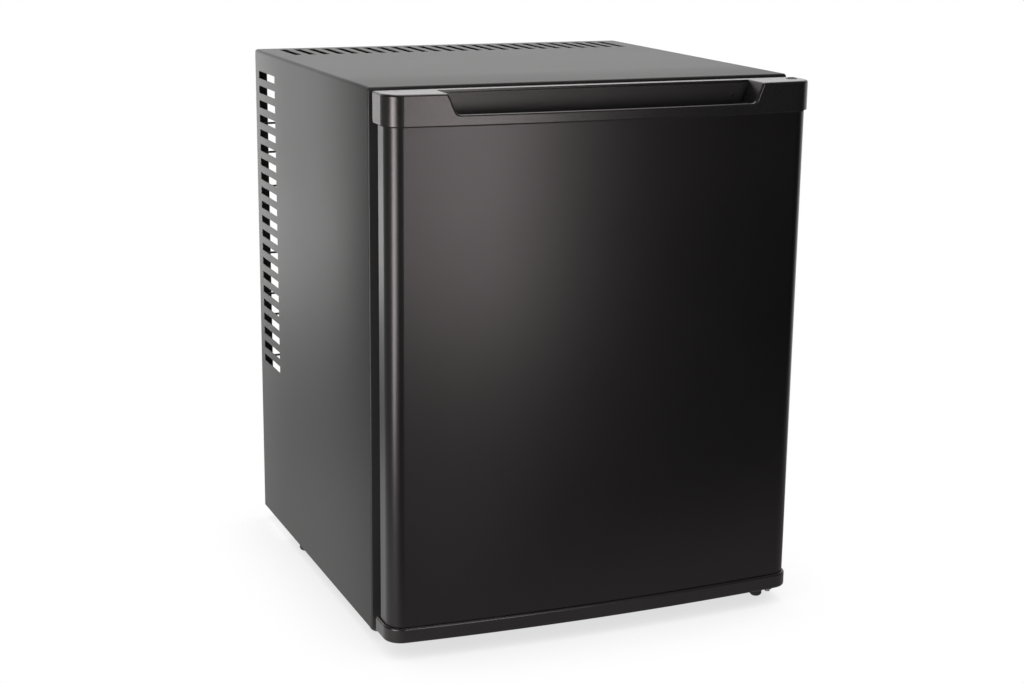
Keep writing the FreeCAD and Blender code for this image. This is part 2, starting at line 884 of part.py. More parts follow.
def upper_screw_places():
    middle = hinge_x - (hinge_x - half_width + upper_plate_width) / 2
    level = leaf_floor() + hinge_plate + (upper_plate_height - hinge_plate) / 2
    spread = upper_plate_width / 4
    return [Vector(middle - spread, casing_front - hinge_plate, level),
            Vector(middle + spread, casing_front - hinge_plate, level)]


def make_upper_hinge_bracket():
    low = leaf_floor()
    right = hinge_x + upper_plate_width / 2 - hinge_plate
    left = right - upper_plate_width
    upright = soft_box(left, right, casing_front - hinge_plate, casing_front, low, low + upper_plate_height,
                       along_y, hinge_plate)
    neck = box(hinge_x - leaf_width / 2, hinge_x + leaf_width / 2, hinge_y, casing_front, low,
               low + hinge_plate)
    eye = Part.makeCylinder(leaf_width / 2, hinge_plate, Vector(hinge_x, hinge_y, low))
    holes = [Part.makeCylinder(hinge_pin_radius + pin_gap, hinge_plate + 2 * overrun,
                               Vector(hinge_x, hinge_y, low - overrun))]
    for place in upper_screw_places():
        holes.append(rod(place - along_y * overrun, place + along_y * (hinge_plate + overrun),
                         screw_radius + pin_gap))
    return joined([upright, neck, eye]).cut(holes)


def make_upper_hinge_pin():
    return rod(Vector(hinge_x, hinge_y, top_cap_floor + cap_edge),
               Vector(hinge_x, hinge_y, door_top - pin_cover_height - fit_gap), hinge_pin_radius)


def make_hinge_pin_cover():
    low = door_top - pin_cover_height
    disc = rod(Vector(hinge_x, hinge_y, low), Vector(hinge_x, hinge_y, door_top + pin_cover_rise),
               pin_cover_radius)
    dish = rod(Vector(hinge_x, hinge_y, door_top + pin_cover_rise - pin_cover_dish),
               Vector(hinge_x, hinge_y, door_top + overrun), pin_cover_radius - pin_cover_rim)
    return disc.cut(dish)


# Door

def recess_prism(top_half, low, high, front, rear):
    # Upright-sided slot across the door whose ends lean in towards the bottom
    run = recess_slope / (top_cap_height - lip_height)
    low_half = top_half - (door_top - low) * run
    high_half = top_half - (door_top - high) * run
    corners = [Vector(-low_half, front, low), Vector(low_half, front, low), Vector(high_half, front, high),
               Vector(-high_half, front, high)]
    return Part.Face(Part.makePolygon(corners + corners[:1])).extrude(Vector(0, rear - front, 0))


def recess_places():
    strip_front = door_rear - cap_strip
    lip_top = top_cap_floor + lip_height
    wall_rear = strip_front - strip_groove
    return strip_front, lip_top, wall_rear


def door_front():
    return door_rear - door_end_thickness - front_bow


def make_door_top_cap():
    # Block with the recess mouth cut in it, all its upper and mouth edges rounded, then hollowed from below
    strip_front, lip_top, wall_rear = recess_places()
    ahead = door_front() - overrun
    mouth = recess_prism(recess_half, lip_top, door_top + overrun, ahead, strip_front)
    low_edges = [edge for edge in edges_along(mouth, along_y) if edge.CenterOfMass.z < lip_top + pin_gap]
    mouth = mouth.makeFillet(recess_corner, low_edges)
    cap = door_block(0, door_rear, top_cap_floor, door_top)
    heel = [edge for edge in edges_along(cap, along_x) if edge.CenterOfMass.z < top_cap_floor + pin_gap]
    cap = cap.makeFillet(cap_heel, heel).cut(mouth)
    soft_edges = []
    for edge in cap.Edges:
        ahead_of_strip = edge.BoundBox.YMax < strip_front - pin_gap
        on_strip = abs(edge.CenterOfMass.y - strip_front) < pin_gap
        if edge.CenterOfMass.z > door_top - pin_gap:
            if not on_strip:
                soft_edges.append(edge)
        elif ahead_of_strip and edge.BoundBox.ZMin > top_cap_floor + pin_gap:
            if abs(edge.CenterOfMass.x) < recess_half:
                soft_edges.append(edge)
    pocket_floor = top_cap_floor - tongue_length - overrun
    pocket = recess_prism(recess_half + fit_gap, pocket_floor, lip_top + recess_corner, ahead, strip_front)
    pocket = pocket.common(door_block(lip_thickness, door_rear, pocket_floor, door_top))
    cap = cap.makeFillet(cap_edge, soft_edges).cut(pocket)
    hollow = door_block(cap_wall, door_rear - cap_wall, top_cap_floor - overrun, door_top - cap_roof)
    surround = recess_prism(recess_half + cap_wall, top_cap_floor - 2 * overrun, door_top, ahead,
                            strip_front + cap_wall / 2)
    boss = Part.makeCylinder(hinge_boss_radius, door_top - top_cap_floor - cap_roof / 2,
                             Vector(hinge_x, hinge_y, top_cap_floor))
    tongue = door_block(skin_inset + sheet + fit_gap, skin_rear, top_cap_floor - tongue_length, top_cap_floor)
    tongue = tongue.cut([door_block(cap_wall, skin_rear + overrun, pocket_floor, door_top), pocket])
    cap = joined([cap.cut(hollow.cut(surround)), boss, tongue])
    slot_low = leaf_floor() - leaf_play
    slot_high = leaf_floor() + hinge_plate + leaf_play
    back_turn = math.radians(leaf_swing_degrees) - math.pi / 2
    slot_reach = hinge_inset * math.tan(back_turn) + (leaf_width / 2 + leaf_play) / math.cos(back_turn)
    slot = box(hinge_x - leaf_width / 2 - leaf_play, half_width + overrun, hinge_y - slot_reach,
               door_rear + overrun, slot_low, slot_high)
    above = Vector(hinge_x, hinge_y, door_top + overrun)
    pin_hole = rod(Vector(hinge_x, hinge_y, top_cap_floor + cap_edge), above, hinge_pin_radius + pin_gap)
    seat = rod(Vector(hinge_x, hinge_y, door_top - pin_cover_height), above, pin_cover_radius + pin_gap)
    return cap.cut([slot, pin_hole, seat])


def insert_block(grow, low, high):
    strip_front, lip_top, wall_rear = recess_places()
    prism = recess_prism(recess_half - fit_gap - grow, low, high, door_front(), wall_rear - grow)
    return prism.common(door_block(lip_thickness + fit_gap + grow, door_rear, low, high))


def insert_floor():
    return top_cap_floor - insert_depth


def plug_place():
    strip_front, lip_top, wall_rear = recess_places()
    return Vector(recess_half - plug_inset, wall_rear - insert_wall, door_top - plug_drop)


def make_handle_insert():
    strip_front, lip_top, wall_rear = recess_places()
    trough = insert_block(0, insert_floor(), door_top - insert_top_drop)
    hollow = insert_block(insert_wall, insert_floor() + insert_wall, door_top)
    clear = box(-half_width, half_width, door_front() - overrun, wall_rear - insert_wall,
                lip_top - insert_lip_drop, door_top + overrun)
    plug_hole = rod(plug_place() - along_y * overrun, plug_place() + along_y * (insert_wall + overrun),
                    plug_radius + pin_gap)
    return trough.cut([hollow, clear, plug_hole])


def make_recess_plug():
    base = plug_place() + along_y * insert_wall
    plug = Part.makeCylinder(plug_radius, insert_wall + plug_rise, base, -along_y)
    tip = [edge for edge in plug.Edges if edge.isClosed() and edge.CenterOfMass.y < base.y - insert_wall]
    return plug.makeFillet(plug_rise * 2 / 3, tip)


def make_door_bottom_cap():
    cap = door_block(0, door_rear, door_floor, bottom_cap_top)
    lower = [edge for edge in cap.Edges if edge.CenterOfMass.z < door_floor + pin_gap]
    upper = [edge for edge in cap.Edges if edge.CenterOfMass.z > bottom_cap_top - pin_gap]
    cap = cap.makeFillet(cap_edge, lower + upper)
    hollow = door_block(cap_wall, door_rear - cap_wall, door_floor + bottom_cap_floor,
                        bottom_cap_top + overrun)
    boss = Part.makeCylinder(hinge_boss_radius, bottom_cap_height, Vector(hinge_x, hinge_y, door_floor))
    boss = boss.common(door_block(cap_edge, door_rear - cap_edge, door_floor, bottom_cap_top))
    tongue_top = bottom_cap_top + tongue_length
    tongue = door_block(skin_inset + sheet + fit_gap, skin_rear, bottom_cap_top - cap_edge, tongue_top)
    tongue = tongue.cut(door_block(cap_wall, skin_rear + overrun, door_floor, tongue_top + overrun))
    bore = rod(Vector(hinge_x, hinge_y, door_floor - overrun),
               Vector(hinge_x, hinge_y, door_floor + lower_pin_rise + fit_gap), bush_radius + pin_gap)
    return joined([cap.cut(hollow), boss, tongue]).cut(bore)


def make_door_skin():
    outer = door_block(skin_inset, skin_rear, skin_floor, skin_top)
    inner = door_block(skin_inset + sheet, skin_rear + overrun, skin_floor - overrun, skin_top + overrun)
    return outer.cut(inner)


def make_door_foam():
    inset = skin_inset + sheet + fit_gap
    low = bottom_cap_top + tongue_length + fit_gap
    high = top_cap_floor - tongue_length - fit_gap
    foam = door_block(inset, skin_rear - door_liner_wall, low, high)
    strip_front, lip_top, wall_rear = recess_places()
    well = recess_prism(recess_half, insert_floor(), door_top, door_front() - overrun, wall_rear + fit_gap)
    return foam.cut(well)


def ridge_block(shrink, front, rear):
    low = skin_floor + ridge_bottom_margin + shrink
    high = skin_top - ridge_top_margin - shrink
    return frame_block(ridge_half - shrink, low, high, ridge_corner - shrink / 2, front, rear)


def make_door_liner():
    half = half_width - skin_inset - sheet - fit_gap
    flange = box(-half, half, skin_rear - door_liner_wall, skin_rear, skin_floor + tongue_length,
                 skin_top - tongue_length)
    ridge_rear = casing_front + ridge_reach
    ridge = ridge_block(0, skin_rear - door_liner_wall, ridge_rear)
    crown = [edge for edge in ridge.Edges if edge.CenterOfMass.y > ridge_rear - pin_gap]
    ridge = ridge.makeFillet(ridge_corner / 4, crown)
    well = ridge_block(ridge_width, skin_rear, ridge_rear + overrun)
    hollow = ridge_block(door_liner_wall, skin_rear - door_liner_wall - overrun, ridge_rear - door_liner_wall)
    core = ridge_block(ridge_width - door_liner_wall, skin_rear - door_liner_wall - 2 * overrun, ridge_rear)
    return joined([flange, ridge]).cut([well, hollow.cut(core)])


def rack_floors():
    lower = skin_floor + ridge_bottom_margin + ridge_width + lower_rack_lift
    upper = skin_top - ridge_top_margin - ridge_width - upper_rack_headroom - upper_rack_height
    return lower, upper


def make_door_rack(low, height):
    # Bin between the door liner's ridges, open at the top, with a row of upright slots in its front
    half = ridge_half - ridge_width - run_gap
    front = skin_rear + fit_gap
    rear = casing_front + ridge_reach + rack_reach
    rack = box(-half, half, front, rear, low, low + height)
    far = [edge for edge in edges_along(rack, along_z) if edge.CenterOfMass.y > rear - pin_gap]
    rack = rack.makeFillet(rack_corner, far)
    hollow = box(rack_wall - half, half - rack_wall, front + rack_wall, rear - rack_wall, low + rack_wall,
                 low + height + overrun)
    far = [edge for edge in edges_along(hollow, along_z) if edge.CenterOfMass.y > rear - rack_wall - pin_gap]
    hollow = hollow.makeFillet(rack_corner - rack_wall, far)
    pitch = 2 * (half - rack_corner) / rack_slot_count
    slots = []
    for number in range(rack_slot_count):
        middle = (number - (rack_slot_count - 1) / 2) * pitch
        tall = height * rack_slot_height_share
        slots.append(box(middle - rack_slot_width / 2, middle + rack_slot_width / 2,
                         rear - rack_wall - overrun, rear + overrun, low + (height - tall) / 2,
                         low + (height + tall) / 2))
    return rack.cut([hollow] + slots)


def gasket_ring(width, front, rear):
    # One layer of the seal, centred on the seal's own line round the door
    outside = half_width - gasket_inset - (gasket_width - width) / 2
    low = bottom_cap_top + gasket_cap_gap + (gasket_width - width) / 2
    high = top_cap_floor - gasket_cap_gap - (gasket_width - width) / 2
    outer = frame_block(outside, low, high, gasket_corner, front, rear)
    inner = frame_block(outside - width, low + width, high - width, gasket_corner / 2, front - overrun,
                        rear + overrun)
    return outer.cut(inner)


def make_door_gasket():
    face = casing_front - gasket_press_gap
    base = gasket_ring(gasket_width, skin_rear, skin_rear + gasket_base)
    neck = gasket_ring(gasket_neck, skin_rear + gasket_base, face - gasket_head_depth)
    head = gasket_ring(gasket_head, face - gasket_head_depth, face)
    return joined([base, neck, head])


# Absorption unit in the rear space

def gas_points():
    level = evaporator_top() - evaporator_height / 2
    outlet = coil_levels()[0] + coil_drop
    return [Vector(0, liner_back, level), Vector(0, unit_y, level), Vector(0, unit_y, outlet)]


def condenser_level():
    return casing_top - condenser_drop


def condensate_points():
    level = evaporator_top() - evaporator_height / 2
    end = condenser_start - condenser_length
    return [Vector(end, unit_y, condenser_level()),
            Vector(-condensate_outer_place, unit_y, condenser_level()),
            Vector(-condensate_outer_place, unit_y, level), Vector(-condensate_inner_place, unit_y, level),
            Vector(-condensate_inner_place, liner_back, level)]


def boiler_floor():
    return casing_floor + boiler_lift


def make_boiler_casing():
    low = boiler_floor()
    middle = Vector(boiler_place, unit_y, low)
    body = Part.makeCylinder(boiler_radius - boiler_rim, boiler_height, middle)
    lower = Part.makeCylinder(boiler_radius, boiler_rim_height, middle)
    upper = lower.copy()
    upper.translate(along_z * (boiler_height - boiler_rim_height))
    return joined([body, lower, upper])


def make_pump_tube():
    top = boiler_floor() + boiler_height
    points = [Vector(boiler_place, unit_y, top), Vector(boiler_place, unit_y, condenser_level()),
              Vector(condenser_start, unit_y, condenser_level())]
    return bent_tube(points, pump_bend, pump_radius)


def make_condenser_tube():
    start = Vector(condenser_start, unit_y, condenser_level())
    return rod(start - along_x * condenser_length, start, pump_radius)


def make_condenser_fins():
    fins = []
    first = condenser_start - (condenser_length - (cooling_fin_count - 1) * cooling_fin_pitch) / 2
    bore = rod(Vector(-half_width, unit_y, condenser_level()), Vector(half_width, unit_y, condenser_level()),
               pump_radius + pin_gap)
    for number in range(cooling_fin_count):
        right = first - number * cooling_fin_pitch + cooling_fin_thickness / 2
        fin = box(right - cooling_fin_thickness, right, unit_y - cooling_fin_half_depth,
                  unit_y + cooling_fin_half_depth, condenser_level() - cooling_fin_half_height,
                  condenser_level() + cooling_fin_half_height)
        fins.append(fin.cut(bore))
    return group(fins)


def make_condensate_line():
    return bent_tube(condensate_points(), condensate_bend, condensate_radius)


def make_gas_heat_exchanger():
    return bent_tube(gas_points(), gas_bend, gas_radius)


def coil_levels():
    # Levels of the coil's level runs, the highest first
    low = vessel_nipple_top() + coil_lift
    return [low + number * coil_pitch for number in reversed(range(coil_run_count))]


def vessel_nipple_top():
    return casing_floor + vessel_lift + vessel_radius + vessel_nipple_rise


def make_absorber_coil():
    first, second, third, fourth = coil_levels()
    start = gas_points()[-1]
    points = [start, Vector(start.x, unit_y, first), Vector(-coil_left, unit_y, first),
              Vector(-coil_left, unit_y, second), Vector(coil_right, unit_y, second),
              Vector(coil_right, unit_y, third), Vector(-coil_left, unit_y, third),
              Vector(-coil_left, unit_y, fourth), Vector(-coil_outlet, unit_y, fourth),
              Vector(-coil_outlet, unit_y, vessel_nipple_top())]
    return bent_tube(points, coil_bend, coil_radius)


def make_absorber_vessel():
    level = casing_floor + vessel_lift
    tank = rod(Vector(-vessel_left, unit_y, level), Vector(vessel_right, unit_y, level), vessel_radius)
    ends = [edge for edge in tank.Edges if edge.isClosed()]
    tank = tank.makeFillet(vessel_end_radius, ends)
    nipple = rod(Vector(-coil_outlet, unit_y, level), Vector(-coil_outlet, unit_y, vessel_nipple_top()),
                 vessel_nipple_radius)
    return joined([tank, nipple])


def make_liquid_heat_exchanger():
    level = casing_floor + vessel_lift
    points = [Vector(vessel_right, unit_y, level), Vector(boiler_place, unit_y, level),
              Vector(boiler_place, unit_y, boiler_floor())]
    return bent_tube(points, liquid_bend, liquid_radius)


def heater_foot():
    return Vector(boiler_place + heater_offset, unit_y, boiler_floor() - heater_length)


def make_heater_cartridge():
    return rod(heater_foot(), heater_foot() + along_z * heater_length, heater_radius)


def make_heater_conduit():
    start = heater_foot()
    corner = start - along_z * conduit_drop
    end = Vector(box_right() - box_width, unit_y, corner.z)
    return bent_tube([start, corner, end], conduit_bend, conduit_radius)


def hat_bracket(across, low, high, seat):
    # Hat section standing on the back panel and reaching out to a tube
    thick = bracket_sheet
    left = across - bracket_width / 2
    right = across + bracket_width / 2
    feet = [box(left, right, panel_rear, panel_rear + thick, low - bracket_foot, low + thick),
            box(left, right, panel_rear, panel_rear + thick, high - thick, high + bracket_foot)]
    legs = [box(left, right, panel_rear, seat, low, low + thick),
            box(left, right, panel_rear, seat, high - thick, high)]
    crown = box(left, right, seat - thick, seat, low, high)
    return joined(feet + legs + [crown])


def make_unit_brackets():
    levels = coil_levels()
    coil = hat_bracket(-coil_bracket_place, levels[-1] - coil_bracket_margin, levels[0] + coil_bracket_margin,
                       unit_y - coil_radius - fit_gap)
    boiler = hat_bracket(boiler_place, boiler_floor() + boiler_bracket_margin,
                         boiler_floor() + boiler_height - boiler_bracket_margin,
                         unit_y - boiler_radius + boiler_rim - fit_gap)
    return group([coil, boiler])


def box_right():
    return half_width - box_side_gap


def box_floor():
    return casing_floor + box_lift


def inlet_middle():
    return Vector(box_right() - box_width / 2, panel_rear + box_depth, box_floor() + box_height / 2)


def inlet_body(grow):
    middle = inlet_middle()
    return box(middle.x - inlet_body_width / 2 - grow, middle.x + inlet_body_width / 2 + grow,
               middle.y - inlet_body_depth - grow, middle.y, middle.z - inlet_body_height / 2 - grow,
               middle.z + inlet_body_height / 2 + grow)


def make_control_box():
    right = box_right()
    low = box_floor()
    housing = soft_box(right - box_width, right, panel_rear, panel_rear + box_depth, low, low + box_height,
                       along_y, box_edge)
    holes = [inlet_body(fit_gap)]
    for place in box_screw_places():
        holes.append(Part.makeCylinder(screw_radius + pin_gap, screw_length + fit_gap, place, -along_y))
    return housing.cut(holes)


def make_power_inlet():
    middle = inlet_middle()
    plate = soft_box(middle.x - inlet_width / 2, middle.x + inlet_width / 2, middle.y, middle.y + inlet_plate,
                     middle.z - inlet_height / 2, middle.z + inlet_height / 2, along_y, inlet_mouth_corner)
    mouth = box(middle.x - inlet_mouth_width / 2, middle.x + inlet_mouth_width / 2,
                middle.y + inlet_plate - inlet_mouth_depth, middle.y + inlet_plate + overrun,
                middle.z - inlet_mouth_height / 2, middle.z + inlet_mouth_height / 2)
    upper = [edge for edge in edges_along(mouth, along_y) if edge.CenterOfMass.z > middle.z]
    mouth = mouth.makeChamfer(inlet_mouth_corner, upper)
    floor = middle.y + inlet_plate - inlet_mouth_depth
    pins = []
    for side, drop in ((-1, inlet_pin_drop), (0, -inlet_pin_drop), (1, inlet_pin_drop)):
        across = middle.x + side * inlet_pin_spread
        pins.append(box(across - inlet_pin_width / 2, across + inlet_pin_width / 2, floor - fit_gap,
                        floor + inlet_pin_length, middle.z - drop - inlet_pin_height / 2,
                        middle.z - drop + inlet_pin_height / 2))
    return joined([plate.fuse(inlet_body(0)).cut(mouth)] + pins)


def make_rear_cross_bar():
    half = half_width - sheet - fit_gap
    rear = casing_rear - sheet - fit_gap
    upright = box(-half, half, rear - sheet, rear, casing_floor, casing_floor + cross_bar_height)
    shelf = box(-half, half, rear - cross_bar_depth, rear, casing_floor, casing_floor + sheet)
    return joined([upright, shelf])


def make_rear_stay_wires():
    # Level wires across the open back, with two uprights laid against their inner side
    half = half_width - sheet - stay_side_gap
    depth = casing_rear - sheet - stay_radius - pin_gap
    inner_depth = depth - 2 * stay_radius - pin_gap
    levels = [casing_floor + casing_height * share for share in stay_height_shares]
    wires = [rod(Vector(-half, depth, level), Vector(half, depth, level), stay_radius) for level in levels]
    low = min(levels) - stay_overhang
    high = max(levels) + stay_overhang
    for across in (-stay_upright_place, stay_upright_place):
        wires.append(rod(Vector(across, inner_depth, low), Vector(across, inner_depth, high), stay_radius))
    return group(wires)


# Every piece under the name that it is kept by

feet = foot_places()
lower_ledge, upper_ledge = ledge_levels()
lower_rack_floor, upper_rack_floor = rack_floors()
bracket_foot_top = casing_floor - lower_plate - rest_gap


def make_cabinet_foot(place, top):
    return make_foot(place, top, foot_top_radius, foot_sole_radius, foot_stud_length)


pieces = {
    "outer_casing": make_outer_casing(),
    "base_plate": make_base_plate(),
    "back_panel": make_back_panel(),
    "cabinet_foam": make_cabinet_foam(),
    "inner_liner": make_inner_liner(),
    "shelf_rails": make_shelf_rails(),
    "evaporator_fins": make_evaporator_fins(),
    "drip_tray": make_drip_tray(),
    "upper_shelf": make_shelf(upper_ledge),
    "lower_shelf": make_shelf(lower_ledge),
    "control_housing": make_control_housing(),
    "lamp_lens": make_lens(0),
    "thermostat_knob": make_thermostat_knob(),
    "light_switch_body": make_light_switch_body(),
    "light_switch_plunger": make_light_switch_plunger(),
    "rear_foot_left": make_cabinet_foot(feet["rear_left"], casing_floor),
    "rear_foot_right": make_cabinet_foot(feet["rear_right"], casing_floor),
    "front_foot_left": make_cabinet_foot(feet["front_left"], casing_floor - rest_gap),
    "front_foot_right": make_foot(bracket_foot_place(), bracket_foot_top, bracket_foot_radius,
                                  bracket_sole_radius, bracket_stud_length),
    "lower_hinge_bracket": make_lower_hinge_bracket(),
    "lower_hinge_pin": make_lower_hinge_pin(),
    "hinge_nut": make_hinge_nut(),
    "lower_hinge_bush": make_lower_hinge_bush(),
    "upper_hinge_bracket": make_upper_hinge_bracket(),
    "upper_hinge_pin": make_upper_hinge_pin(),
    "hinge_pin_cover": make_hinge_pin_cover(),
    "door_top_cap": make_door_top_cap(),
    "handle_insert": make_handle_insert(),
    "recess_plug": make_recess_plug(),
    "door_bottom_cap": make_door_bottom_cap(),
    "door_skin": make_door_skin(),
    "door_foam": make_door_foam(),
    "door_liner": make_door_liner(),
    "door_rack_lower": make_door_rack(lower_rack_floor, lower_rack_height),
    "door_rack_upper": make_door_rack(upper_rack_floor, upper_rack_height),
    "door_gasket": make_door_gasket(),
    "boiler_casing": make_boiler_casing(),
    "heater_cartridge": make_heater_cartridge(),
    "pump_tube": make_pump_tube(),
    "condenser_tube": make_condenser_tube(),
    "condenser_fins": make_condenser_fins(),
    "condensate_line": make_condensate_line(),
    "gas_heat_exchanger": make_gas_heat_exchanger(),
    "absorber_coil": make_absorber_coil(),
    "absorber_vessel": make_absorber_vessel(),
    "liquid_heat_exchanger": make_liquid_heat_exchanger(),
    "heater_conduit": make_heater_conduit(),
    "unit_brackets": make_unit_brackets(),
    "control_box": make_control_box(),
    "power_inlet": make_power_inlet(),
    "rear_cross_bar": make_rear_cross_bar(),
    "rear_stay_wires": make_rear_stay_wires(),
    "base_screws": group([screw(place, along_z) for place in base_screw_places()]),
    "lower_hinge_screws": group([screw(place, along_z) for place in lower_screw_places()]),
    "upper_hinge_screws": group([screw(place, along_y) for place in upper_screw_places()]),
    "back_panel_screws": group([screw(place, -along_y) for place in panel_screw_places()]),
    "evaporator_screws": group([screw(place, along_y) for place in evaporator_screw_places()]),
    "control_box_screws": group([screw(place, -along_y) for place in box_screw_places()]),
}

for name, shape in pieces.items():
    shape.exportStep("parts/" + name + ".step")
    print(name, "solids", len(shape.Solids), "valid", shape.isValid(), "volume", round(shape.Volume))
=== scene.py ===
import bpy
import json
import math
import numpy as np
from mathutils import Matrix, Vector


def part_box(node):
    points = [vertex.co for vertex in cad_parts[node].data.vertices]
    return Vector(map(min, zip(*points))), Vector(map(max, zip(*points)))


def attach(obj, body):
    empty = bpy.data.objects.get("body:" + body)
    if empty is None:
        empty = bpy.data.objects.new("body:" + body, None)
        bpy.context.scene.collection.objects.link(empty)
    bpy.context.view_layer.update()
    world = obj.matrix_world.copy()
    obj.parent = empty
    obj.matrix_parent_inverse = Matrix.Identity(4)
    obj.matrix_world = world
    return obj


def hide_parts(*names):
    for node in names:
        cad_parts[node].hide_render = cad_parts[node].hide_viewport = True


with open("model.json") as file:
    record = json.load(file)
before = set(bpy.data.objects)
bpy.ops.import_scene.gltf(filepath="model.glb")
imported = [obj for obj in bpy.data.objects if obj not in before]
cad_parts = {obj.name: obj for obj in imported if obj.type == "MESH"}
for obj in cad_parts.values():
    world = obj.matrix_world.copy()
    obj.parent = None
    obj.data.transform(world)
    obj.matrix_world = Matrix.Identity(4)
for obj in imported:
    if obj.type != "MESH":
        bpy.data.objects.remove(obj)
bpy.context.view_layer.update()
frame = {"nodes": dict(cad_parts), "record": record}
nodes = frame["nodes"]
print("frame loaded:", len(nodes), "nodes")


# Shader sockets as values: + - * ** > < and of() add Math nodes, numbers alone stay Python
class Signal:
    def __init__(self, tree, socket):
        self.tree, self.socket = tree, socket

    def math(self, operation, *values):
        node = self.tree.nodes.new("ShaderNodeMath")
        node.operation = operation
        for slot, value in zip(node.inputs, values):
            if isinstance(value, Signal):
                self.tree.links.new(value.socket, slot)
            else:
                slot.default_value = value
        return Signal(self.tree, node.outputs[0])

    def of(self, operation, *others): return self.math(operation, self, *others)
    def __add__(self, other): return self.math("ADD", self, other)
    def __radd__(self, other): return self.math("ADD", other, self)
    def __sub__(self, other): return self.math("SUBTRACT", self, other)
    def __rsub__(self, other): return self.math("SUBTRACT", other, self)
    def __mul__(self, other): return self.math("MULTIPLY", self, other)
    def __rmul__(self, other): return self.math("MULTIPLY", other, self)
    def __pow__(self, other): return self.math("POWER", self, other)
    def __gt__(self, other): return self.math("GREATER_THAN", self, other)
    def __lt__(self, other): return self.math("LESS_THAN", self, other)


# Any node tree: add() makes every other node, settings first, then its sockets
class Tree:
    def __init__(self, tree):
        self.tree = tree

    def add(self, kind, settings, sockets, output=0):
        node = self.tree.nodes.new(kind)
        for key, value in settings.items():
            setattr(node, key, value)
        for key, value in sockets.items():
            if isinstance(value, Signal):
                self.tree.links.new(value.socket, node.inputs[key])
            else:
                node.inputs[key].default_value = value
        return Signal(self.tree, node.outputs[output])

    def span(self, value, low, high, toLow=0.0, toHigh=1.0):
        return self.add("ShaderNodeMapRange", {"clamp": True, "interpolation_type": "SMOOTHSTEP"},
                        {"Value": value, "From Min": low, "From Max": high,
                         "To Min": toLow, "To Max": toHigh})

    def axes(self, vector, *numbers):
        return [self.add("ShaderNodeSeparateXYZ", {}, {"Vector": vector}, number)
                for number in numbers]

    def rays(self):
        # 1 for a ray from the camera, off a glossy surface and through a clear one
        return [self.add("ShaderNodeLightPath", {}, {}, name)
                for name in ("Is Camera Ray", "Is Glossy Ray", "Is Transmission Ray")]

    def bearing(self, across, along):
        # Degrees from straight behind the object, positive to its right
        return across.of("ARCTAN2", along) * (180 / math.pi)


edgeLook = dict(samples=4, flat=0.99, sharp=0.8)
mottleLook = dict(low=0.3, high=0.7)


# One finish is one material
class Finish(Tree):
    def __init__(self, name):
        self.material = bpy.data.materials.new(name)
        self.material.use_nodes = True
        super().__init__(self.material.node_tree)
        self.shader = self.tree.nodes["Principled BSDF"]
        self.place = self.add("ShaderNodeTexCoord", {}, {}, "Object")

    def noise(self, scale, detail, rough, stretch=None):
        place = self.place
        if stretch:
            place = self.add("ShaderNodeMapping", {}, {"Vector": place, "Scale": stretch})
        return self.add("ShaderNodeTexNoise", {},
                        {"Vector": place, "Scale": scale, "Detail": detail, "Roughness": rough})

    def cells(self, scale, soft):
        return self.add("ShaderNodeTexVoronoi", {"feature": "SMOOTH_F1"},
                        {"Vector": self.place, "Scale": scale, "Smoothness": soft})

    def blend(self, factor, first, second):
        # The Mix node's colour sockets go by number: factor 0, colours 6 and 7, result 2
        return self.add("ShaderNodeMix", {"data_type": "RGBA"}, {0: factor, 6: first, 7: second}, 2)

    def mottle(self, noise, first, second):
        return self.blend(self.span(noise, mottleLook["low"], mottleLook["high"]), first, second)

    def edges(self, radius):
        # How far the bevelled normal leans from the plain one: near 1 along sharp edges, 0 on flats
        soft = self.add("ShaderNodeBevel", {"samples": edgeLook["samples"]}, {"Radius": radius})
        plain = self.add("ShaderNodeNewGeometry", {}, {}, "Normal")
        dot = self.add("ShaderNodeVectorMath", {"operation": "DOT_PRODUCT"},
                       {0: soft, 1: plain}, "Value")
        return self.span(dot, edgeLook["flat"], edgeLook["sharp"])

    def bump(self, height, strength, distance, **more):
        return self.add("ShaderNodeBump", {},
                        {"Height": height, "Strength": strength, "Distance": distance, **more})

    def set(self, **sockets):
        for key, value in sockets.items():
            slot = self.shader.inputs[key.replace("_", " ")]
            if isinstance(value, Signal):
                self.tree.links.new(value.socket, slot)
            else:
                slot.default_value = value
        return self.material


def rgb(*values):
    return (*values, 1.0) if len(values) == 3 else (values[0], values[0], values[0], 1.0)


# Noise lies about a half, so its sway lies about nothing
def sway(noise, amount):
    return (noise - 0.5) * amount


